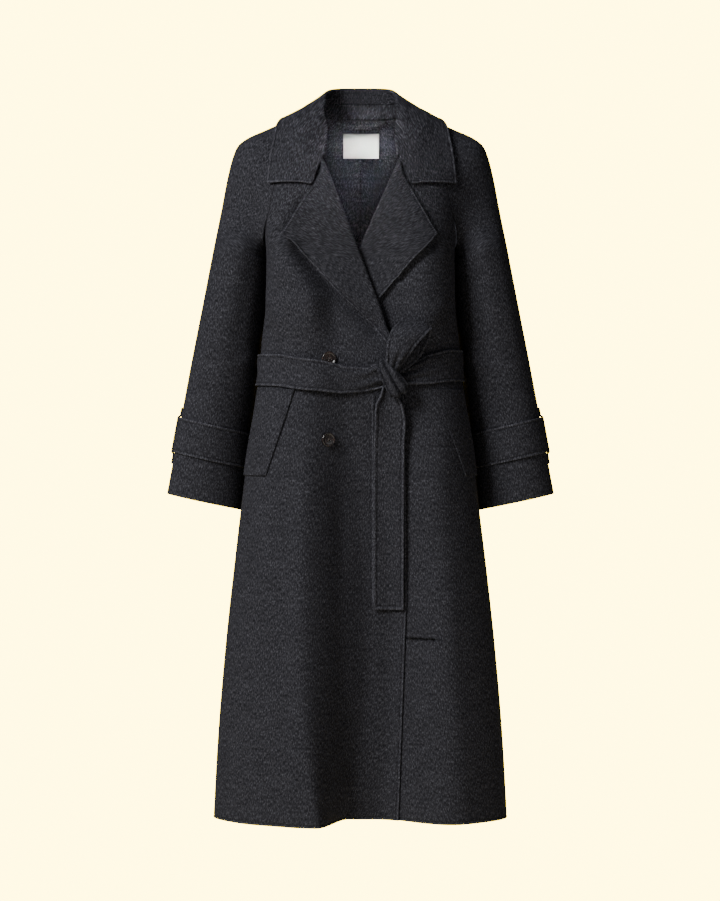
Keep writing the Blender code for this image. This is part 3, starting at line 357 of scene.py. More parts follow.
def distance_to(grid, sides):
    """Distance of each grid point from the sides: r0, r1 first and last row, c0, c1 columns, or points."""
    lines = {"r0": grid[0], "r1": grid[-1], "c0": grid[:, 0], "c1": grid[:, -1]}
    points = grid.reshape(-1, 3).astype(np.float32)
    near = np.full(len(points), FAR, np.float32)
    for side in sides:
        line = (lines[side] if isinstance(side, str) else side).astype(np.float32)
        square = np.sum(points ** 2, 1)[:, None] + np.sum(line ** 2, 1)[None, :] - 2 * points @ line.T
        near = np.minimum(near, np.sqrt(np.maximum(square.min(axis=1), 0)))
    return near.reshape(grid.shape[:2])


def cut_size(grid):
    """Width, length and area of the flat cut, from the cloth's length along its rows and columns."""
    across = np.linalg.norm(np.diff(grid, axis=1), axis=-1).sum(axis=1).max() * MM
    along = np.linalg.norm(np.diff(grid, axis=0), axis=-1).sum(axis=0).max() * MM
    side_a, side_b = grid[1:, 1:] - grid[:-1, :-1], grid[1:, :-1] - grid[:-1, 1:]
    area = np.linalg.norm(np.cross(side_a, side_b), axis=-1).sum() / 2 * MM * MM
    return (across, along), min(area, across * along)


def in_scene(name, data):
    """An object of the data in the scene, at the origin."""
    made = bpy.data.objects.new(name, data)
    bpy.context.scene.collection.objects.link(made)
    return made


def object_of(name, mesh, material):
    """A smooth object of the mesh in the scene, at the origin, in the material."""
    mesh.materials.append(material)
    mesh.shade_smooth()
    return in_scene(name, mesh)


def cloth(name, grid, out_sign, cut=(), sewn=(), stitch=0.0, swell=0.35, material=charcoal_wool, wall=WALL,
          closed=False, plumb=False, there=None, replaces=(), round_edge=1.3):
    """A piece of cloth as one closed skin round a grid of middle points.

    Each point has a partner on both faces, half the wall along the normal. Near a cut side the wall
    shrinks as a quarter ellipse, and near a sewn side it sinks as a bell curve, for the seam's groove.
    A line of stitches at its distance from the cut sides sinks both faces, and the rim outside it swells.
    The rim joins the faces along every open side of the grid. The nap runs along the grid's columns, or
    straight down where it is plumb."""
    rows, columns = grid.shape[:2]
    count, width = rows * columns, columns + closed
    edge, seam = distance_to(grid, cut), distance_to(grid, sewn)
    half = np.full(edge.shape, wall / 2)
    if stitch:
        half = half + swell * (1 - ease(edge / stitch)) - STITCH_DEPTH * bump(edge, stitch, STITCH_WIDTH)
    half = half * np.sqrt(1 - (1 - np.clip(edge / round_edge, THIN_RIM, 1)) ** 2)
    half = half * (1 - SEAM_SINK * np.exp(-(seam / SEAM_WIDTH) ** 2))
    wide = np.concatenate([grid[:, -1:], grid, grid[:, :1]], axis=1) if closed else grid
    normal = normals_of(wide)[:, closed:closed + columns] * out_sign
    faces = [grid + normal * half[..., None], grid - normal * half[..., None]]
    corner = np.arange(rows * width).reshape(rows, width)
    quads = np.stack([corner[:-1, :-1], corner[1:, :-1], corner[1:, 1:], corner[:-1, 1:]], axis=-1)
    quads = quads.reshape(-1, 4) if there is None else quads[there]
    if out_sign < 0:
        quads = quads[:, ::-1]
    vertex = quads // width * columns + quads % width % columns
    start, end = vertex.ravel(), np.roll(vertex, -1, axis=1).ravel()
    is_open = ~np.isin(start * count + end, end * count + start)
    polygons = []
    for corners, layer_size in ((vertex, count), (quads, rows * width)):
        first, last = corners.ravel()[is_open], np.roll(corners, -1, axis=1).ravel()[is_open]
        rim = np.stack([last, first, first + layer_size, last + layer_size], axis=1)
        polygons.append(np.concatenate([corners, corners[:, ::-1] + layer_size, rim]))
    used, vertices = np.unique(polygons[0], return_inverse=True)
    vertices = vertices.ravel()
    mesh = bpy.data.meshes.new(name)
    mesh.vertices.add(len(used))
    points = np.concatenate([face.reshape(-1, 3) for face in faces])[used]
    mesh.vertices.foreach_set("co", (points * MM).astype(np.float32).ravel())
    mesh.loops.add(len(vertices))
    mesh.loops.foreach_set("vertex_index", vertices.astype(np.int32))
    mesh.polygons.add(len(vertices) // 4)
    mesh.polygons.foreach_set("loop_start", np.arange(0, len(vertices), 4, dtype=np.int32))
    mesh.update(calc_edges=True)
    unrolled = np.concatenate([grid, grid[:, :1]], axis=1) if closed else grid
    step_across = np.linalg.norm(np.diff(unrolled, axis=1), axis=-1)
    step_along = np.linalg.norm(np.diff(unrolled, axis=0), axis=-1).mean(axis=1, keepdims=True)
    across = np.concatenate([np.zeros((rows, 1)), np.cumsum(step_across, axis=1)], axis=1)
    along = np.concatenate([[[0.0]], np.cumsum(step_along, axis=0)]) + np.zeros_like(across)
    if plumb:
        x, y, z = np.moveaxis(unrolled, -1, 0)
        across, along = x + PLUMB_LEAN * np.tanh(x / PLUMB_TURN) * y, z - PLUMB_LEAN * y
    grain = np.stack([across, along], axis=-1).reshape(-1, 2) * MM
    grain = np.concatenate([grain, grain + BACK_SHIFT])[polygons[1].ravel()]
    mesh.uv_layers.new(name="grain").data.foreach_set("uv", grain.astype(np.float32).ravel())
    from_stitches = edge / stitch if stitch else np.full(edge.shape, UNSTITCHED)
    for label, values in (("edge", from_stitches), ("seam", seam)):
        both = np.concatenate([values.ravel(), values.ravel()])[used]
        mesh.attributes.new(label, "FLOAT", "POINT").data.foreach_set("value", both.astype(np.float32))
    piece = object_of(name, mesh, material)
    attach(piece, "root")
    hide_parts(*(replaces or (name,)))
    flat, area = cut_size(unrolled)


def panel_heights(seam_rows, top, extra=()):
    """Heights of a body panel's rows, close together at the hem and at its sharp corners."""
    low = HEM_Z + (top - HEM_Z) * shares(seam_rows, top - HEM_Z, True, False)
    return np.unique(np.concatenate([low, extra]))


def back_points(side, z, share):
    """Half of the back: from the side or raglan seam round to the centre back."""
    seam = np.where(z < UNDERARM_Z, SIDE_ANGLE, BACK_SEAM.read("angle", z))
    angle = even_angles(side * seam, np.full_like(z, side * 180.0), z, share)
    return layer(angle, z[:, None])


for side, word in SIDES:
    heights = panel_heights(230, BACK_NECK_Z, (UNDERARM_Z,))
    cloth(f"back_{word}", back_points(side, heights, np.linspace(0, 1, 72)), -side, cut=("r0",),
          sewn=("c0", "c1"))


# ================================================================ the fronts and their lapels
# The fronts wrap right over left. Each is one piece of cloth with its lapel, which is only turned over
# along the roll line and never pressed flat, so the turn stands proud and the lapel's edge lifts.
FRONT_SEAM = Table("z angle", [
    (UNDERARM_Z, SIDE_ANGLE), (-225, 84), (-207, 75), (-165, 66.5), (-120, 64), (-76, 63), (-40, 66),
    (NECK_Z, 69.5)])
GORGE_Z, BREAK_Z = -86.0, -399.0
NOTCH_Z = -128.0                # the lapel's edge is free up to here, and sewn to the collar above
FRONT = {
    -1: Table("z roll_x arc length turn", [
        (HEM_Z, 41, 12.6, 10, 0), (-936, 49.9, 12.6, 10, 0), (-814, 54.5, 12.6, 10, 0),
        (-647, 52.7, 12.6, 10, 0), (-480, 49.8, 12.6, 10, 0), (-428, 49, 9, 6, 0), (-402, 48, 8, 2, 0),
        (-396, 54, 11, 6, 180), (-375, 46.7, 12.6, 10, 180), (-332.8, 30.7, 12.6, 36.5, 180),
        (-309.7, 21.9, 12.6, 55.8, 180), (-235.3, -6.4, 12.6, 98.5, 180), (-205.7, -17.7, 12.6, 109.5, 180),
        (-181, -27, 12.6, 84.6, 180), (-152.6, -37.9, 12.6, 57.2, 180), (-126, -47.9, 12.6, 30.9, 180),
        (-102.8, -56.8, 12.6, 9.7, 180), (GORGE_Z, -63.2, 11, 1.8, 180), (-73, -68.6, 6, 1.8, 180),
        (-70, -70, 2, 2, 0), (-65, -72, 2, 2, 0), (-36.4, -74, 2, 2, 0), (NECK_Z, -80, 2, 2, 0)]),
    1: Table("z roll_x arc length turn", [
        (HEM_Z, 2, 12.6, 10, 0), (-880, 4, 12.6, 10, 0), (-650, 2, 12.6, 10, 0), (-530, -14, 12.6, 10, 0),
        (-450, -50, 12.6, 10, 0), (-402, -67, 12.6, 10, 0), (-396, -69, 12.6, 27, 180),
        (-360, -54.4, 12.6, 44.4, 180), (-305.6, -30.8, 12.6, 68, 180), (-245, -4.5, 12.6, 94.5, 180),
        (-205.7, 12.6, 12.6, 111.3, 180), (-181, 23.3, 12.6, 87.2, 180), (-152.6, 35.6, 12.6, 59.8, 180),
        (-126, 47.1, 12.6, 34.2, 180), (-102.8, 57.2, 12.6, 11.6, 180), (GORGE_Z, 64.5, 11, 1.8, 180),
        (-73, 69.9, 6, 1.8, 180), (-70, 71.2, 2, 2, 0), (-65, 73.3, 2, 2, 0), (-36.4, 75.3, 2, 2, 0),
        (NECK_Z, 81.3, 2, 2, 0)])}
EDGE_LIFT, LIFT_REACH = {-1: 11.0, 1: 8.5}, 1.2     # lift of the lapel's edge, and how soon it is reached
GORGE_LIFT, GORGE_FADE = 5.3, 45.0     # its lift at the collar, and the height over which it gets there
SPAN_FROM, SPAN_OVER = 45.0, 60.0      # height above the break where the lapel starts to span the valleys
ROLL_SHARE = {-1: 1.0, 1: 0.7}         # the covered lapel's turn is tighter
LOW_DEPTH, HIGH_DEPTH = 4.4, 9.8       # the left front behind the right one, below and above the break
LOW_PAST, HIGH_PAST = 24.0, 2.0        # how far past the roll line it stays there, below and above
OVERLAP_FADE, DEPTH_FADE = 70.0, 30.0
TURN_COLUMNS = 10
NO_TURN = (-402.5, -395.5), (-73.5, math.inf)  # heights between which the rows jump, so no turn is built


def angle_at(x, z):
    """The front angle at which the form has this x, by halving."""
    x, z = np.broadcast_arrays(np.asarray(x, float), np.asarray(z, float))
    low, high = np.full(x.shape, -88.0), np.full(x.shape, 88.0)
    for _ in range(30):
        middle = (low + high) / 2
        beyond = ring(middle, z)[0] > x
        low, high = np.where(beyond, low, middle), np.where(beyond, middle, high)
    return (low + high) / 2


def covered(side, angle, z):
    """How far the left front lies behind the form so that the right one covers it."""
    if side < 0:
        return 0.0
    past = FRONT[-1].straight("roll_x", z) + np.where(z > BREAK_Z, HIGH_PAST, LOW_PAST)
    deep = LOW_DEPTH + (HIGH_DEPTH - LOW_DEPTH) * ease((z - BREAK_Z + DEPTH_FADE) / DEPTH_FADE)
    return deep * (1 - ease((ring(angle, z)[0] - past) / OVERLAP_FADE))


def front_points(side, z, body_share, lapel_share):
    """A front with its lapel, row by row: the body on the form, the turn on an arc, then the lapel over
    the body at a lift that falls from the roll to the edge. Without a turn it runs on along the form."""
    z = z[:, None]
    roll_x, arc, length, turn = (FRONT[side].straight(c, z) for c in ("roll_x", "arc", "length", "turn"))
    seam = side * np.where(z < UNDERARM_Z, SIDE_ANGLE, FRONT_SEAM.read("angle", z))
    roll = angle_at(roll_x, z)
    angle = even_angles(seam[:, 0], roll[:, 0], z[:, 0], body_share)
    body = layer(angle, z, -covered(side, angle, z))
    near = roll + side * 0.5
    tangent = unit(body[:, -1:] - layer(near, z, -covered(side, near, z)))
    outward = -side * np.stack([tangent[..., 1], -tangent[..., 0], 0 * tangent[..., 0]], axis=-1)
    radius = ROLL_SHARE[side] * arc / math.pi
    part = np.linspace(0, 1, TURN_COLUMNS + 1)[1:]
    turned = body[:, -1:] + radius[..., None] * (np.sin(math.pi * part)[:, None] * tangent
                                                 + (1 - np.cos(math.pi * part))[:, None] * outward)
    over_angle = angle_at(roll_x + side * length * lapel_share, z)
    at_gorge = ease((z - NOTCH_Z + GORGE_FADE) / GORGE_FADE)
    edge_lift = EDGE_LIFT[side] + (GORGE_LIFT - EDGE_LIFT[side]) * at_gorge
    lift = 2 * radius + (edge_lift - 2 * radius) * ease(lapel_share * LIFT_REACH)
    lapel = layer(over_angle, z, lift - covered(side, over_angle, z))
    lapel[..., 1] -= valleys(lapel[..., 0], lapel[..., 2]) * ease((z - BREAK_Z - SPAN_FROM) / SPAN_OVER)
    on_x = roll_x - side * np.concatenate([arc * part, arc + length * lapel_share], axis=1)
    on_angle = angle_at(on_x, z)
    on = layer(on_angle, z, -covered(side, on_angle, z))
    over = np.concatenate([turned, lapel], axis=1)
    return np.concatenate([body, np.where(turn[..., None] < 90, on, over)], axis=1)


body_share, lapel_share = np.linspace(0, 1, 82), shares(26, 60.0, False, True)[1:]
for side, word in SIDES:
    corners = FRONT[side].values[:, 0]
    heights = panel_heights(210, NECK_Z, np.concatenate([corners, [UNDERARM_Z]]))
    grid = front_points(side, heights, body_share, lapel_share)
    low, high = heights[:-1], heights[1:]
    turned = np.arange(grid.shape[1] - 1) >= len(body_share) - 1
    flat_row = np.any([(low >= bottom) & (high <= top) for bottom, top in NO_TURN], axis=0)
    free = heights < NOTCH_Z
    cloth(f"front_{word}", grid, side, cut=("r0", grid[free, -1]), sewn=("c0", grid[~free, -1]), stitch=4.6,
          there=~(turned & flat_row[:, None]))


# ================================================================ the sleeves
# Wide raglan sleeves. Each is cut in a front and a back half that run up to the neck, joined over the
# shoulder and under the arm, and it hangs as a soft tube pressed a little by the body beside it.
ARM = Table("s under_x under_y under_z over_x over_y over_z front back", [
    (0.0, 197, 46, -668, 330, 32, -639, 50, 54),
    (0.25, 188.5, 46, -560, 310, 30, -532, 56, 60),
    (0.56, 166, 42, -430, 285.5, 26, -403, 62, 67),
    (0.77, 160, 29, -343, 268, 20, -317, 66, 72),
    (1.0, 148, 15, UNDERARM_Z, 250, 15, -226, 68, 76)])
OVERARM = Table("rise x y z", [
    (0.0, 250, 15, -226), (0.25, 236, 12, -157), (0.42, 224.5, 10, -98), (0.52, 216, 9, -66),
    (0.58, 208, 9, -48), (0.65, 194, 8, -36.5), (0.78, 158, 7, -20), (0.90, 120, 7, -3), (1.0, 85, 7, 12)])
UNDER_LEAN = np.array([-0.25, 1.0, 0.05])
CLEAR = 0.4                                 # between a piece and what it lies on
ROUND = 4 / 3                               # handle length of a cubic curve that turns half way round
CAP_TOP = 0.38                              # rise at which the round arm has become the shoulder's section
SEAM_HANDLE, SHOULDER_HANDLE, LEAST_HANDLE = 0.36, 0.42, 8.0
PUSH_SOFT, PUSH_NEAR = 4.0, 30.0            # softness and reach of the push off the body
BELT_ROOM, BELT_ROOM_Z, BELT_WIDTH = 5.5, -425.0, 53.0      # the sleeve clears the belt too
SLEEVE_CREASE_FADE = 0.35
# Creases along the sleeve: place across (0 under, 1 over) and along at both ends, half width, depth.
SLEEVE_CREASES = {-1: [(0.20, 0.10, 0.30, -0.60, 0.10, 3.0), (0.45, 0.30, 0.50, -0.70, 0.12, 2.5),
                       (0.12, -0.35, 0.42, -0.48, 0.09, 2.0), (0.75, 0.20, 0.72, -0.55, 0.10, 2.0)],
                  1: [(0.25, 0.15, 0.30, -0.70, 0.12, 3.0), (0.60, 0.25, 0.62, -0.60, 0.12, -2.5),
                      (0.40, -0.30, 0.70, -0.45, 0.08, 2.0)]}


def bezier(start, first, second, end, t):
    """Points on cubic curves, one curve a row."""
    t = t[None, :, None]
    start, first, second, end = (p[:, None] for p in (start, first, second, end))
    return (1 - t) ** 3 * start + 3 * t * (1 - t) ** 2 * first + 3 * t * t * (1 - t) * second + t ** 3 * end


def clear_of_body(points, weight):
    """Moves points out so that they pass the body's wall with a small gap."""
    angle = np.degrees(np.arctan2(points[..., 0], -points[..., 1]))
    belt = BELT_ROOM * bump(points[..., 2], BELT_ROOM_Z, BELT_WIDTH)
    wall = np.hypot(*ring(angle, points[..., 2])) + WALL + 3 * CLEAR + belt
    out = np.hypot(points[..., 0], points[..., 1])
    pushed = wall + PUSH_SOFT * np.logaddexp(0, (out - wall) / PUSH_SOFT)
    scale = np.where(out - wall > PUSH_NEAR, 1.0, 1 + weight * (pushed / out - 1))
    return points * np.stack([scale, scale, np.ones_like(scale)], axis=-1)


def arm_points(s, half, t):
    """Half rings of the arm, from the underarm to the overarm line, half -1 for front and +1 for back."""
    read = lambda column: ARM.read(column, s)
    depth = read("front" if half < 0 else "back")[:, None]
    under = np.stack([-read("under_x"), read("under_y"), read("under_z")], axis=-1)
    over = np.stack([-read("over_x"), read("over_y"), read("over_z")], axis=-1)
    leave, arrive = UNDER_LEAN * (1, half, 1) * depth * ROUND, np.array([0.0, half, 0.0]) * depth * ROUND
    return clear_of_body(bezier(under, under + leave, over + arrive, over, t), 1.0)


def cap_points(rise, half, t):
    """Sections above the underarm, from a raglan seam over to the shoulder line."""
    top, table = (NECK_Z, FRONT_SEAM) if half < 0 else (BACK_NECK_Z, BACK_SEAM)
    z = UNDERARM_Z + rise * (top - UNDERARM_Z)
    angle = -table.read("angle", z)
    arm = (1 - ease(rise / CAP_TOP))[:, None]
    start = layer(angle, z, arm[:, 0] * (WALL + 2 * CLEAR))
    over = np.stack([-OVERARM.read("x", rise), OVERARM.read("y", rise), OVERARM.read("z", rise)], axis=-1)
    along = unit(layer(angle + half * 0.5, z) - layer(angle, z))
    up = layer(angle, z + 0.5) - layer(angle, z - 0.5)
    up = unit(up - along * np.sum(up * along, axis=-1, keepdims=True))
    chord = over - start
    span = np.linalg.norm(chord, axis=-1, keepdims=True)
    inside = unit(along * np.sum(chord * along, -1, keepdims=True)
                  + up * np.sum(chord * up, -1, keepdims=True))
    depth = float(ARM.read("front" if half < 0 else "back", 1.0))
    left = np.maximum(depth - half * (start[:, 1:2] - float(ARM.read("under_y", 1.0))), LEAST_HANDLE)
    leave = (1 - arm) * inside * span * SEAM_HANDLE + arm * UNDER_LEAN * (1, half, 1) * left * ROUND
    arrive = np.array([0.0, half, 0.0]) * ((1 - arm) * span * SHOULDER_HANDLE + arm * depth * ROUND)
    section = bezier(start, start + leave, over + arrive, over, t)
    return np.where(arm[..., None] > 0, clear_of_body(section, arm), section)


def half_sleeve(side, half, along, t):
    """Half a sleeve, along from -1 at the cuff to 0 at the underarm and 1 at the neck, with creases."""
    arm, cap = along[along <= 0], along[along > 0]
    grid = np.concatenate([arm_points(1 + arm, half, t), cap_points(cap, half, t)])
    total = np.zeros(grid.shape[:2])
    for t_0, along_0, t_1, along_1, width, depth in SLEEVE_CREASES[half]:
        place = (along[:, None] - along_0) / (along_1 - along_0)
        ends = ease(place / SLEEVE_CREASE_FADE) * ease((1 - place) / SLEEVE_CREASE_FADE)
        total += depth * ends * bump(t[None, :], t_0 + (t_1 - t_0) * np.clip(place, 0, 1), width)
    grid = grid + normals_of(grid) * -half * total[..., None]
    return grid * (-side, 1, 1)


def sleeve_points(side, along, count):
    """A whole sleeve: the front half from under to over the arm, then the back half down again."""
    t = np.linspace(0, 1, count)
    front, back = half_sleeve(side, -1, along, t), half_sleeve(side, 1, along, t)
    seam = (front[:, -1:] + back[:, -1:]) / 2
    return np.concatenate([front[:, :-1], seam, back[:, -2::-1]], axis=1)


for side, word in SIDES:
    along = np.concatenate([-1 + shares(130, 430.0, True, False), np.linspace(0, 1, 90)[1:]])
    cloth(f"sleeve_{word}", sleeve_points(side, along, 56), -side, cut=("r0",), sewn=("c0", "c1"),
          replaces=(f"sleeve_front_{word}", f"sleeve_back_{word}"))


# ================================================================ the collar
# A wide collar on a stand. The stand rises from the neckline, and the leaf folds over it along a soft
# roll and falls over the shoulders; its front edge meets the lapel at the notch.
COLLAR = Table("at n_x n_y n_z k_x k_y k_z q_x q_y q_z e_x e_y e_z roll share", [
    (0.00, 0, 68.5, 6, 0, 62, 58.5, 0, 86, 12, 0, 99, -33, 3.4, 0.50),
    (0.20, 26, 67, 6, 27, 57, 57.5, 38, 80, 12, 46, 94, -32, 3.4, 0.50),
    (0.40, 50.5, 60, 6.5, 46, 41, 53, 70, 62, 15, 88, 79, -24, 3.4, 0.50),
    (0.50, 71, 38, 11, 53, 25, 46, 86, 42, 20, 108, 60, -13, 3.4, 0.50),
    (0.60, 82.5, 8, 14, 57.5, 8, 36, 94, 20, 22, 122, 40, -3, 3.4, 0.50),
    (0.75, 78, -32, -5, 59, -24, 5, 98, -16, 12, 134, 5, -4, 3.2, 0.48),
    (0.88, 67, -57, -40, 58.5, -56, -42, 103, -60, -36, 147, -37, -46, 2.8, 0.40),
    (1.00, 64.3, -78, -73, 59.4, -82.5, -74, 82.4, -102, -121.0, 157, -66, -118.5, 2.2, 0.35)])
COLLAR_AT = np.array([0.0, 0.1, 0.2, 0.3, 0.4, 0.5, 0.6, 0.68, 0.75, 0.82, 0.88, 0.94, 1.0])
LEFT_REACH = {"n": 1.3, "k": 1.3, "q": 1.3, "e": 3.1}
PRESS_FROM, PRESS_OVER, SHARP_FROM, NOTCH = 0.72, 0.16, 0.85, 3 / 7
LEAF_LIFT, JOIN_REACH = 5.4, 1.2
EDGE_RISE, EDGE_RISE_FROM = 3.0, 0.5      # the leaf's own rise above the cloth towards its edge
LEAF_ROWS, FOLD_ROWS = 14, 7              # rows of the leaf's form, and those up to the fold's end
NOTCH_ROW = 9.1                           # rows up to here are sewn to the lapels
SHOULDER_INSIDE = np.array([60.0, 10.0, -130.0])


def collar_line(at, letter):
    """A line of the collar over its whole length, at from -1 to +1."""
    x, y, z = (COLLAR.read(f"{letter}_{axis}", np.abs(at)) for axis in "xyz")
    return np.stack([np.sign(at) * x + LEFT_REACH[letter] * at * at, y, z], axis=-1)


def cloth_under_collar():
    """Points and outward normals of the cloth that the leaf lies on."""
    points, normals = [], []
    rise = np.linspace(0.34, 1, 40)
    for side in (-1, 1):
        front_z = UNDERARM_Z + rise * (NECK_Z - UNDERARM_Z)
        back_z = UNDERARM_Z + rise * (BACK_NECK_Z - UNDERARM_Z)
        grids = [front_points(side, front_z, np.linspace(0, 1, 50), np.ones(1))[:, :50],
                 back_points(side, back_z, np.linspace(0, 1, 60))]
        grids += [half_sleeve(side, half, rise, np.linspace(0, 1, 40)) for half in (-1, 1)]
        for grid in grids:
            normal = normals_of(grid)
            from_inside = grid - SHOULDER_INSIDE * (side, 1, 1)
            facing = np.sign(np.sum(normal * from_inside, axis=-1, keepdims=True))
            points.append(grid.reshape(-1, 3))
            normals.append((normal * facing).reshape(-1, 3))
    return np.concatenate(points), np.concatenate(normals)


def lift_off(points, least, weight):
    """Moves points out along the normal of the nearest cloth under them, to be at least this far off."""
    under, normals = cloth_under_collar()
    flat = points.reshape(-1, 3)
    gap = np.sum(flat ** 2, axis=1)[:, None] - 2 * flat @ under.T + np.sum(under ** 2, axis=1)[None, :]
    nearest = np.argmin(gap, axis=1)
    off = np.sum((flat - under[nearest]) * normals[nearest], axis=1)
    push = np.maximum(0.0, least - off) * weight.reshape(-1)
    return (flat + normals[nearest] * push[:, None]).reshape(points.shape)


def finer(grid, share, axis):
    """The grid read at places from 0 to 1 along an axis, on Catmull-Rom curves through its points."""
    grid = np.moveaxis(grid, axis, 0)
    place = share * (len(grid) - 1)
    i = np.minimum(place.astype(int), len(grid) - 2)
    s = (place - i).reshape(-1, *[1] * (grid.ndim - 1))
    before, after = np.maximum(i - 1, 0), np.minimum(i + 2, len(grid) - 1)
    leave, arrive = (grid[i + 1] - grid[before]) / 2, (grid[after] - grid[i]) / 2
    return np.moveaxis(hermite(s, grid[i], grid[i + 1], leave, arrive), 0, axis)


def leaf_points():
    """The leaf at the collar's own stations: up from the stand, round the fold, down to the edge.

    The fold is an arc; the leaf then follows a quadratic curve through its middle and edge, which
    sharpens to two straight lines at the front edge, where the notch is."""
    at = np.concatenate([-COLLAR_AT[:0:-1], COLLAR_AT])
    neck, fold, middle, edge = (collar_line(at, letter) for letter in "nkqe")
    up = unit(fold - neck)
    out = unit(np.cross(up, np.gradient(fold, axis=0)))
    fall = unit(middle - fold)
    angle = np.arctan2(np.sum(fall * out, axis=-1), np.sum(fall * up, axis=-1))
    angle = (angle + ease((np.abs(at) - PRESS_FROM) / PRESS_OVER) * (math.pi - angle))[:, None]
    roll = COLLAR.read("roll", np.abs(at))[:, None]
    foot = neck + COLLAR.read("share", np.abs(at))[:, None] * (fold - neck)
    base = fold - up * roll
    rows = [foot + (base - foot) * t for t in (0.0, 0.5, 1.0)]
    rows += [base + roll * (np.sin(angle * t) * up + (1 - np.cos(angle * t)) * out)
             for t in (0.25, 0.5, 0.75, 1.0)]
    start, sharp = rows[-1], ease((np.abs(at) - SHARP_FROM) / (1 - SHARP_FROM))[:, None]
    for t in np.linspace(0, 1, LEAF_ROWS - FOLD_ROWS + 1)[1:]:
        curve = 2 * (t - 0.5) * (t - 1) * start + 4 * t * (1 - t) * middle + 2 * t * (t - 0.5) * edge
        first, second = min(t / NOTCH, 1.0), max((t - NOTCH) / (1 - NOTCH), 0.0)
        lines = start + (middle - start) * first + (edge - middle) * second
        rows.append(curve + sharp * (lines - curve))
    grid = np.stack(rows)
    weight = np.zeros(grid.shape[:2])
    weight[FOLD_ROWS:] = 1.0
    down = np.arange(LEAF_ROWS) / (LEAF_ROWS - 1)
    rise = EDGE_RISE * ease((down - EDGE_RISE_FROM) / (1 - EDGE_RISE_FROM))
    return lift_off(grid, (LEAF_LIFT + rise[:, None] * np.ones(grid.shape[1])).reshape(-1), weight)


down = shares(64, 150.0, False, True)
leaf = finer(finer(leaf_points(), down, 0), shares(170, 700.0, True, True), 1)
joined = down * (LEAF_ROWS - 1) < NOTCH_ROW
for side, inner in ((0, 1), (-1, -2)):
    leaf[joined, side] += JOIN_REACH * unit(leaf[joined, side] - leaf[joined, inner])
cloth("collar_leaf", leaf, -1, cut=("r1", leaf[~joined, 0], leaf[~joined, -1]), stitch=4.6, plumb=True,
      sewn=("r0", leaf[joined, 0], leaf[joined, -1]))
at = 2 * shares(160, 420.0, True, True) - 1
neck, fold = collar_line(at, "n"), collar_line(at, "k")
share = np.linspace(0, 1, 14)[:, None, None] * COLLAR.read("share", np.abs(at))[:, None]
cloth("collar_stand", neck + share * (fold - neck), -1, sewn=("r0", "r1"))


# ================================================================ the belt
# A soft belt of the same cloth, 53 mm wide, tied at the waist in a half bow: the band gathers into the
# knot from both sides, a wrap goes round it, one end makes a loop and both ends hang down.
BELT = Table("angle z width out", [
    (-180, -425, BELT_WIDTH, 3.6), (-97, -428, BELT_WIDTH, 4.4), (-60, -431, BELT_WIDTH, 5),
    (-46, -437, 52.5, 8), (-32, -441.5, 51, 11), (-23, -444.5, 49.5, 10.5), (-12, -448, 44, 9),
    (4, -447.5, 39, 6), (16, -446, 32, 5), (25, -446, 24, 5),
    (32, -443, 25, 5), (40, -438, 34, 5), (52, -429, 50, 5), (66, -423, BELT_WIDTH, 5),
    (97, -422, BELT_WIDTH, 4.4), (180, -425, BELT_WIDTH, 3.6)])
KNOT_ANGLE, END_GAP = 25.0, 1.0
BACKWARD = np.array([0.0, 1.0, 0.0])
# Pleats: depth, where they start to fade and over how far, how many lie across the belt, and their phase.
FAN_PLEATS, SLANT_PLEATS, SLANT_LENGTH = (3.0, 6, 30, 2.6, 0.9), (3.2, 4, 34, 2.1, 0.4), 60
PLEAT_FLOOR = -1.6
EAR_ANGLE, EAR_WIDTH, EAR_RISE, EAR_OUT = 13.5, 5.0, 7.0, 5.0
BAND_CROWN, BAND_WAVE = 1.6, 1.3


def front_point(x, z, out):
    """A point over the front, by its x and height and how far it lies off the form."""
    return layer(angle_at(x, z), z, out)


def pleats(kind, across, away, slant=0):
    """Depth of pleats across the belt, fading with the way from the knot."""
    depth, start, over, number, phase = kind
    return depth * (1 - ease((away - start) / over)) * np.cos(2 * math.pi * (number * across + slant) + phase)


def band_points(count, share):
    """The band round the waist: rows across it, columns along it.

    Pleats grow to the knot, finer on the left where they fan out, and on the right the gathered end
    swells to an ear beside the knot."""
    angle = np.linspace(KNOT_ANGLE + END_GAP, KNOT_ANGLE + 360.0 - END_GAP, count)
    from_knot = np.minimum(angle - KNOT_ANGLE, KNOT_ANGLE + 360 - angle)
    fan = angle < 180
    angle = np.where(angle > 180, angle - 360, angle)
    z, width, out = (BELT.read(column, angle) for column in ("z", "width", "out"))
    across = (share - 0.5)[:, None]
    pleat = np.where(fan, pleats(FAN_PLEATS, across, from_knot),
                     pleats(SLANT_PLEATS, across, from_knot, from_knot / SLANT_LENGTH))
    ear = bump(angle, EAR_ANGLE, EAR_WIDTH) * ease((across + 0.15) / 0.5)
    crown = BAND_CROWN * (1 - (2 * across) ** 2) * (1 - ease((from_knot - 10) / 60))
    wave = BAND_WAVE * np.sin(angle / 7.0 + 3 * across) * bump(across, 0.1, 0.5)
    return layer(angle, z + width * across + EAR_RISE * ear,
                 out + np.maximum(pleat, PLEAT_FLOOR) + crown + EAR_OUT * ear + np.maximum(wave, 0))


band = band_points(320, shares(18, BELT_WIDTH, True, True))
cloth("belt_band", band, -1, cut=("r0", "r1"), stitch=5.0)

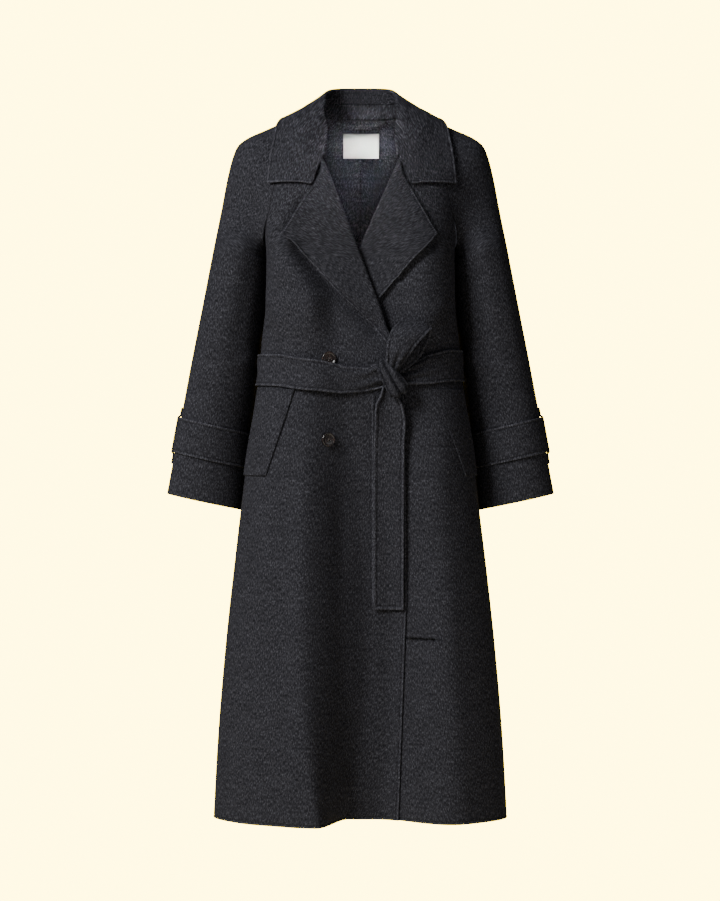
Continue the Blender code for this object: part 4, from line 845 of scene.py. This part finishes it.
KNOT_X, KNOT_Z = 50.0, -445.0
KNOT = Table("turn half_length shift rim", [
    (0, 12, 2, 0), (60, 14, 1, 0), (110, 17, 0, 1.5), (150, 18, 0, 4.0), (180, 17, 0, 2.0), (270, 13, 0, 0),
    (360, 12, 2, 0)])
KNOT_HALF, KNOT_DEPTH, KNOT_OUT = 26.0, 9.0, 18.7
KNOT_SLOPE = math.radians(56.0)
KNOT_CROWN = 5.0
FOLD_DEPTH, FOLD_COUNT, FOLD_TWIST, FOLD_PHASE = 2.9, 1.25, 420.0, 0.7


def knot_points(steps, share):
    """The wrap of the knot, a closed band round an ellipse, crowned, with three folds along its length
    that twist a little, and a thicker fold at its lower end."""
    turn = np.linspace(0, 360, steps, endpoint=False)
    half, shift = KNOT.read("half_length", turn), KNOT.read("shift", turn)
    along = np.array([math.cos(KNOT_SLOPE), 0.0, -math.sin(KNOT_SLOPE)])
    axis = np.array([math.sin(KNOT_SLOPE), 0.0, math.cos(KNOT_SLOPE)])
    centre = front_point(KNOT_X, KNOT_Z, 0.0) - KNOT_OUT * BACKWARD
    t = (2 * share - 1)[:, None]
    in_front = ease(np.sin(np.radians(turn)) + 0.6)
    folds = FOLD_DEPTH * np.cos(2 * math.pi * (FOLD_COUNT * t + turn / FOLD_TWIST) + FOLD_PHASE)
    swell = (KNOT_CROWN * (1 - t ** 2) + folds + KNOT.read("rim", turn)) * in_front
    a = np.radians(turn)
    ring_out = -along * np.cos(a)[:, None] - BACKWARD * np.sin(a)[:, None]
    middle = -along * (np.cos(a) * KNOT_HALF)[:, None] - BACKWARD * (np.sin(a) * KNOT_DEPTH)[:, None]
    return centre + middle + ring_out * swell[..., None] + axis * (half * t + shift)[..., None]


knot = knot_points(140, shares(40, 32.0, True, True))
cloth("belt_knot", knot, -1, cut=("r0", "r1"), closed=True)

LOOP = Table("t left_x left_z right_x right_z front_y back_x back_z back_y", [
    (-0.16, 48, -446, 54, -448, -112, 54, -448, -108),
    (0.0, 45.3, -435.6, 58.5, -438.9, -119, 60, -441, -110),
    (0.15, 42.9, -419, 66.8, -425.7, -127, 84, -425, -112),
    (0.4, 42.9, -399, 83.3, -403.4, -133, 100, -409, -113),
    (0.65, 46.2, -379.5, 99.8, -382.8, -133, 108.5, -392, -112),
    (0.85, 52.8, -363.8, 113, -368.8, -129, 115, -378, -112),
    (1.0, 66.8, -350.5, 117, -366, -122, 117, -369, -114)])
LOOP_PLEATS, FRONT_CROWN, BACK_CROWN = (2.6, 0.02, 0.6, 2.4, 0.5), 5.0, 1.0


def loop_points(t, share):
    """The bow's loop: a band that rises in front, turns at the top and comes back down behind.

    Both layers run straight across from their left to their right edge, crowned, with pleats that
    spread out from the knot."""
    t, across = t[:, None], share[None, :]
    read = lambda column: LOOP.read(column, t)

    def strip(right_x, right_z, depth, crown, inset):
        x = read("left_x") + inset + (right_x - read("left_x") - inset) * across
        z = read("left_z") + (right_z - read("left_z")) * across
        pleat = pleats(LOOP_PLEATS, across, t, 0.2 * t) * crown / FRONT_CROWN
        return np.stack([x, depth - crown * (1 - (2 * across - 1) ** 2) - pleat, z], axis=-1)

    front = strip(read("right_x"), read("right_z"), read("front_y") + 2.5, FRONT_CROWN, 0.0)
    back = strip(read("back_x"), read("back_z"), read("back_y"), BACK_CROWN, 3.0)
    top = (front[-1] + back[-1]) / 2 + np.array([0.5, 0.0, 4.5])
    over = finer(np.stack([front[-4], front[-1], top, back[-1], back[-4]]), np.linspace(0.27, 0.73, 11), 0)
    return np.concatenate([front[:-1], over, back[-2::-1]])


loop = loop_points(np.linspace(-0.16, 1, 60), shares(34, 50.0, True, True))
cloth("belt_bow_loop", loop, 1, cut=("c0", "c1"), stitch=5.0, swell=0.7)

TAILS = {
    "belt_tail_front": Table("z x width out curl", [
        (-832, 47, 51, 7.5, 0), (-700, 47, 51, 7.5, 0.8), (-560, 47.5, 51, 7.5, 1.5),
        (-521, 49.5, 51, 8.5, 4), (-490, 47.4, 44, 9.5, 7), (-475, 46.8, 28, 9, 7), (-460, 47, 20, 8, 5)]),
    "belt_tail_back": Table("z x width out curl", [
        (-827, 44, 49, 3.6, 0), (-700, 43.5, 49, 3.6, 0), (-560, 43.5, 49, 3.6, 0), (-500, 43, 49, 3.6, 0),
        (-472, 41, 44, 4.0, 0)])}
TAIL_WAVE, TAIL_WAVE_LENGTH, WAVE_TOP, WAVE_FADE = 0.9, 41.0, -560.0, 60.0
for name, table in TAILS.items():
    low, high = table.values[0, 0], table.values[-1, 0]
    z = low + (high - low) * shares(130, high - low, True, False)[:, None]
    across = shares(30, 52.0, True, True)[None, :] - 0.5
    edges = table.read("curl", z) * np.abs(2 * across) ** 2.5
    wave = TAIL_WAVE * np.sin(z / TAIL_WAVE_LENGTH + 2.2 * across) * (1 - ease((z - WAVE_TOP) / WAVE_FADE))
    x = table.read("x", z) + table.read("width", z) * across
    out = table.read("out", z) + edges + np.maximum(wave, -0.4)
    cloth(name, front_point(x, z, 0.0) - out[..., None] * BACKWARD, -1, cut=("r0", "c0", "c1"), stitch=6.4,
          swell=0.9)


# ================================================================ the cuff straps and their keepers
# A strap of doubled cloth goes round each sleeve above the cuff, and a narrow cloth keeper, sewn down at
# both ends on the sleeve's outer line, holds it.
STRAP_FROM, STRAP_TO = 0.165, 0.305
STRAP_OUT = WALL + 3 * CLEAR
KEEPER = Table("z out", [
    (-588, 2.4), (-571.5, 2.6), (-568, 6.0), (-509, 6.0), (-505.5, 2.6), (-492, 2.4)])
KEEPER_WIDTH, KEEPER_WALL = 10.0, 3.4
KEEPER_OUT = np.array([-0.981, 0.0, 0.194])     # away from the sleeve at its outer line
for side, word in SIDES:
    s = STRAP_FROM + (STRAP_TO - STRAP_FROM) * shares(16, 58.0, True, True)
    ring_points = sleeve_points(side, s - 1, 80)[:, :-1]
    wide = np.concatenate([ring_points[:, -2:], ring_points, ring_points[:, :2]], axis=1)
    normal = (normals_of(wide) * -side)[:, 2:-2]
    cloth(f"cuff_strap_{word}", ring_points + normal * STRAP_OUT, -side, cut=("r0", "r1"), closed=True,
          stitch=5.0)
    low, high = KEEPER.values[0, 0], KEEPER.values[-1, 0]
    z = low + (high - low) * shares(24, 100.0, True, True)
    s = np.interp(z, ARM.values[:, 6], ARM.values[:, 0])
    line = np.stack([-ARM.read("over_x", s), ARM.read("over_y", s), z], axis=-1)
    line = line + KEEPER_OUT * KEEPER.read("out", z)[:, None]
    across = (shares(5, KEEPER_WIDTH, True, True) - 0.5)[None, :, None] * KEEPER_WIDTH * BACKWARD
    cloth(f"strap_keeper_{word}", (line[:, None] + across) * (-side, 1, 1), -side, cut=("c0", "c1"),
          sewn=("r0", "r1"), wall=KEEPER_WALL, round_edge=1.5)


# ================================================================ the pocket welts
# Slanted welts, one on each front, folded from the same cloth and sewn down at their ends. Each follows
# the front it lies on, a small gap off it, between two lines given as angles round the form.
WELTS = {-1: Table("z inner outer", [(-607, -62, -86), (-463, -48, -76)]),
         1: Table("z inner outer", [(-607, 70, 88), (-463, 52, 76)])}
for side, word in SIDES:
    table = WELTS[side]
    low, high = table.values[0, 0], table.values[-1, 0]
    z = low + (high - low) * shares(40, high - low, True, True)[:, None]
    inner, outer = table.straight("inner", z), table.straight("outer", z)
    angle = inner + (outer - inner) * shares(30, 70.0, True, True)
    cloth(f"pocket_welt_{word}", layer(angle, z, WALL + 2 * CLEAR), side, cut=("r0", "r1", "c0", "c1"))


# ================================================================ the label and the hanger loop
# A plain woven label, sewn inside the back under the neckline, and a narrow loop of the coat's cloth
# above it for hanging the coat up.
def woven_label(name):
    """Woven satin ribbon: cream yarn in fine ribs, with a sunk line of stitches near its edge."""
    material, tree, surface = new_material(name)
    grain = add_node(tree, "ShaderNodeUVMap", uv_map="grain")
    ribs = add_node(tree, "ShaderNodeTexWave", {"Vector": grain.outputs[0], "Scale": 1 / 0.0009 / 6.283},
                    bands_direction="X")
    fleck = add_node(tree, "ShaderNodeTexNoise", {"Vector": grain.outputs[0], "Scale": 1 / 0.002,
                                                  "Detail": 3.0})
    mixed = add_node(tree, "ShaderNodeMix", {"Factor": 0.7, "A": ribs.outputs["Fac"],
                                             "B": fleck.outputs["Fac"]}, data_type="FLOAT")
    ramp = add_node(tree, "ShaderNodeValToRGB", {"Fac": mixed.outputs[0]})
    set_ramp(ramp, [(0.2, srgb("eae7df")), (0.8, srgb("f8f5ee"))])
    edge = add_node(tree, "ShaderNodeAttribute", attribute_name="edge")
    far = add_node(tree, "ShaderNodeMath", {0: edge.outputs["Fac"], 1: 1 / 20.0}, operation="MULTIPLY")
    line = add_node(tree, "ShaderNodeValToRGB", {"Fac": far.outputs[0]})
    set_ramp(line, greys([(0.0, 0.8), (0.04, 1), (0.07, 0.72), (0.10, 1)]))
    drawn = add_node(tree, "ShaderNodeVectorMath", {0: ramp.outputs["Color"], 1: line.outputs["Color"]},
                     operation="MULTIPLY")
    tree.links.new(drawn.outputs[0], surface.inputs["Base Color"])
    relief = add_node(tree, "ShaderNodeBump", {"Height": mixed.outputs[0], "Strength": 0.3,
                                               "Distance": 0.0003})
    tree.links.new(relief.outputs[0], surface.inputs["Normal"])
    set_sockets(surface, {"Roughness": 0.6, "Sheen Weight": 0.1})
    return material


LABEL_SIDE, LABEL_FOOT, LABEL_WIDTH, LABEL_HEIGHT, LABEL_WALL = -28.5, -58.0, 59.0, 41.0, 0.8
x = LABEL_SIDE + LABEL_WIDTH * shares(30, LABEL_WIDTH, True, True)[None, :]
z = LABEL_FOOT + LABEL_HEIGHT * shares(20, LABEL_HEIGHT, True, True)[:, None]
angle = 180 - np.degrees(np.arcsin(x / BODY.read("back", z)))
cloth("neck_label", layer(angle, z, -(WALL + LABEL_WALL) / 2 - 3 * CLEAR), 1, cut=("r0", "r1", "c0", "c1"),
      wall=LABEL_WALL, material=woven_label("cream_woven_satin"),
      round_edge=0.4)

HANGER_ANGLE, HANGER_WIDTH, HANGER_WALL = 34.0, 6.4, 1.4
HANGER_SAG, HANGER_OFF = 8.0, 9.0          # how far its middle hangs down, and stands off the back
t = np.linspace(-1, 1, 80)
slack = 1 - t * t
across = (shares(6, HANGER_WIDTH, True, True) - 0.5)[:, None] * HANGER_WIDTH
grid = layer(180 - HANGER_ANGLE * t, across - HANGER_SAG * slack,
             -(WALL + HANGER_WALL) / 2 - 4 * CLEAR - HANGER_OFF * slack)
middle = grid[len(grid) // 2]
grid[..., :2] += slack[:, None] ** 2 * (middle[:, :2] - grid[..., :2])
cloth("hanger_loop", grid, 1, cut=("r0", "r1"), sewn=("c0", "c1"), wall=HANGER_WALL,
      round_edge=0.7)


# ================================================================ the buttons
# Four-hole buttons of dark polished horn, turned with a raised rim, sewn on with doubled dark thread.
# The two that show on the right front are built, each facing along the cloth under it.
def horn(name):
    """Polished buffalo horn: near-black brown with cloudy lighter streaks under a clear gloss."""
    material, tree, surface = new_material(name)
    place = add_node(tree, "ShaderNodeTexCoord")
    streaks = add_node(tree, "ShaderNodeTexNoise", {"Vector": place.outputs["Object"], "Scale": 1 / 0.009,
                                                    "Detail": 3.0, "Distortion": 1.2})
    ramp = add_node(tree, "ShaderNodeValToRGB", {"Fac": streaks.outputs["Fac"]})
    set_ramp(ramp, [(0.35, srgb("120e0d")), (0.55, srgb("231a18")), (0.72, srgb("4a3a33"))])
    tree.links.new(ramp.outputs["Color"], surface.inputs["Base Color"])
    set_sockets(surface, {"Roughness": 0.22, "IOR": 1.54, "Coat Weight": 0.35, "Coat Roughness": 0.1})
    return material


BUTTON = Table("point radius height", [
    (0, 0, 0), (1, 9.4, 0), (2, 11.4, 0.7), (3, 12, 1.9), (4, 11.8, 3.2), (5, 10.9, 4), (6, 9.9, 4),
    (7, 8.9, 3.3), (8, 7.8, 2.9), (9, 3.6, 2.75), (10, 0, 2.7)])
HOLE_RADIUS, HOLE_OFFSET, HOLE_DEPTH = 1.1, 2.6, 2.2       # each hole lies this far off the middle
THREAD_RADIUS, THREAD_APART, THREAD_TOP, THREAD_DIP = 0.32, 0.25, 3.3, 2.6
BUTTON_PLACES = {"button_upper": (-52.6, -412.6, 2 * CLEAR), "button_lower": (-55.4, -546.8, 4 * CLEAR)}


def button_frame(x, z, off):
    """Middle of a button's back, and its right, up and outward directions, from the cloth under it."""
    base, step = front_point(x, z, WALL / 2 + off), 4.0
    right = unit(front_point(x + step, z, 0) - front_point(x - step, z, 0))
    up = unit(front_point(x, z + step, 0) - front_point(x, z - step, 0))
    normal = unit(np.cross(right, up))
    return base, np.stack([right, np.cross(normal, right), normal])


def join_to_mesh(name, shapes, material):
    """One mesh object from (points, quads) pairs, smooth, at the origin."""
    start, points, quads = 0, [], []
    for shape_points, shape_quads in shapes:
        points.append(shape_points)
        quads.append(shape_quads + start)
        start += len(shape_points)
    mesh = bpy.data.meshes.new(name)
    mesh.from_pydata((np.concatenate(points) * MM).tolist(), [], np.concatenate(quads).tolist())
    piece = object_of(name, mesh, material)
    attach(piece, "root")
    return piece


def quads_round(rows, sides):
    """Quads between rings of points, one ring a row, each closed round."""
    corner = np.arange(rows * sides).reshape(rows, sides)
    corner = np.concatenate([corner, corner[:, :1]], axis=1)
    return np.stack([corner[:-1, :-1], corner[:-1, 1:], corner[1:, 1:], corner[1:, :-1]], -1).reshape(-1, 4)


def tube(path, radius, sides=8):
    """A closed tube round a path: circles across it, with both ends drawn in to a point."""
    along = unit(np.gradient(path, axis=0))
    aside = unit(np.cross(along, np.array([0.31, 0.17, 0.93])))
    upward = np.cross(along, aside)
    a = np.linspace(0, 2 * math.pi, sides, endpoint=False)
    size = np.full(len(path), radius)
    size[[0, -1]] = 0.02
    points = path[:, None] + size[:, None, None] * (np.cos(a)[:, None] * aside[:, None]
                                                    + np.sin(a)[:, None] * upward[:, None])
    return points.reshape(-1, 3), quads_round(len(path), sides)


def spun_thread(name):
    """Spun polyester thread: dark, a little lighter where its two plies catch the light."""
    material, tree, surface = new_material(name)
    place = add_node(tree, "ShaderNodeTexCoord")
    plies = add_node(tree, "ShaderNodeTexWave", {"Vector": place.outputs["Object"],
                                                 "Scale": 1 / 0.0006 / 6.283}, bands_direction="DIAGONAL")
    ramp = add_node(tree, "ShaderNodeValToRGB", {"Fac": plies.outputs["Fac"]})
    set_ramp(ramp, [(0.2, srgb("2a2524")), (0.8, srgb("57504c"))])
    tree.links.new(ramp.outputs["Color"], surface.inputs["Base Color"])
    set_sockets(surface, {"Roughness": 0.7})
    return material


buffalo_horn = horn("polished_buffalo_horn")
sewing_thread = spun_thread("dark_spun_thread")
for name, (x, z, off) in BUTTON_PLACES.items():
    base, directions = button_frame(x, z, off)
    height = np.concatenate([np.linspace(0, 8, 49), np.linspace(8.06, 10, 33)])
    radius, level = BUTTON.read("radius", height), BUTTON.read("height", height)
    a = np.linspace(0, 2 * math.pi, 64, endpoint=False)
    x, y = radius[:, None] * np.cos(a), radius[:, None] * np.sin(a)
    holes = np.hypot(np.abs(x) - HOLE_OFFSET * 0.7, np.abs(y) - HOLE_OFFSET * 0.7)
    points = np.stack([x, y, level[:, None] - HOLE_DEPTH * (1 - ease(holes / HOLE_RADIUS / 1.3))], axis=-1)
    points = base + points @ directions
    shape = points.reshape(-1, 3), quads_round(radius.size, a.size)
    piece = join_to_mesh(name, [shape], buffalo_horn)
    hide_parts(name)
    run = np.linspace(-1, 1, 15)
    threads = []
    for turn in (0.25, 0.75):
        for aside in (-THREAD_APART, THREAD_APART):
            c, s = math.cos(turn * math.pi), math.sin(turn * math.pi)
            line = np.stack([run * HOLE_OFFSET * c - aside * s, run * HOLE_OFFSET * s + aside * c,
                             THREAD_TOP - THREAD_DIP * np.abs(run) ** 5], axis=-1)
            threads.append(tube(base + line @ directions, THREAD_RADIUS))
    piece = join_to_mesh(f"{name}_thread", threads, sewing_thread)


# ================================================================ floor, light and camera
# A pale painted floor, a backdrop lit from within like a light table, a large soft light from the upper
# left with a weak one from the right, two narrow ones into the neck, and the camera at the photograph's
# angle: level with the coat's middle, 4.2 m off.
def plain_paint(name, colour, glow=0.0, glow_colour="ffffff"):
    """Matt paint, which may glow."""
    material, _, surface = new_material(name)
    set_sockets(surface, {"Base Color": srgb(colour), "Roughness": 1.0, "Specular IOR Level": 0.0,
                          "Emission Color": srgb(glow_colour), "Emission Strength": glow})
    return material


def sweep_object(name, profile, widths, material):
    """A sheet bent along x, through (y, z) points, each row with its own half width."""
    profile, widths = np.array(profile), np.array(widths, float)[:, None]
    rows = np.concatenate([np.concatenate([side * widths, profile], axis=1) for side in (-1, 1)])
    n, mesh = len(profile), bpy.data.meshes.new(name)
    first = np.arange(n - 1)
    mesh.from_pydata(rows.tolist(), [], np.stack([first, first + n, first + n + 1, first + 1], -1).tolist())
    object_of(name, mesh, material)


FLOOR_Z, MEET_Y, BACK_Y, BEND = -1.45, 0.6, 6.5, 1.5
sweep_object("studio_floor", [(-3.0, FLOOR_Z), (MEET_Y, FLOOR_Z)], [2.5, 2.5],
             plain_paint("pale_floor_paint", "e9e6dd"))
arc = np.linspace(0, math.pi / 2, 16)
bend = np.stack([BACK_Y - BEND + BEND * np.sin(arc), FLOOR_Z + BEND - BEND * np.cos(arc)], -1)
profile = np.concatenate([[[MEET_Y, FLOOR_Z]], bend, [[BACK_Y, 1.8]]])
sweep_object("studio_backdrop", profile, 0.17 * (4.2 + profile[:, 0]),
             plain_paint("lit_cream_backdrop", "403a20", 16.0, "ffde60"))


def area_light(name, place, target, size, power, spread=180.0):
    """A square soft light at a place, turned to a target, its beam as wide as the spread in degrees."""
    data = bpy.data.lights.new(name, "AREA")
    data.shape, data.size, data.energy = "SQUARE", size, power
    data.spread = math.radians(spread)
    light = in_scene(name, data)
    light.location = place
    light.rotation_euler = (Vector(target) - Vector(place)).to_track_quat("-Z", "Y").to_euler()


area_light("key_left", (-2.3, -2.5, 1.45), (0, 0, -0.6), 1.4, 192)
area_light("fill_right", (2.8, -3.2, 0.6), (0, 0, -0.6), 2.2, 14)
area_light("neck_light", (-0.1, -3.4, 0.4), (0.005, 0.08, -0.12), 0.1, 0.07, spread=4.5)
area_light("label_light", (0.05, -3.4, 0.4), (0.001, 0.065, -0.038), 0.03, 0.12, spread=2.4)
world = bpy.data.worlds.new("studio_air")
world.use_nodes = True
world.node_tree.nodes["Background"].inputs["Color"].default_value = srgb("f4f6ff")
world.node_tree.nodes["Background"].inputs["Strength"].default_value = 0.10
bpy.context.scene.world = world

CAMERA_BACK, CAMERA_Z, MM_PER_PIXEL, PHOTO_WIDTH = 4200.0, -565.0, 1.70, 720
camera_data = bpy.data.cameras.new("photo_camera")
camera_data.sensor_fit = "HORIZONTAL"
camera_data.lens = camera_data.sensor_width * CAMERA_BACK / (PHOTO_WIDTH * MM_PER_PIXEL)
camera = in_scene("photo_camera", camera_data)
camera.location = (-0.5 * MM_PER_PIXEL * MM, -CAMERA_BACK * MM, CAMERA_Z * MM)
camera.rotation_euler = (math.pi / 2, 0, 0)
bpy.context.scene.camera = camera
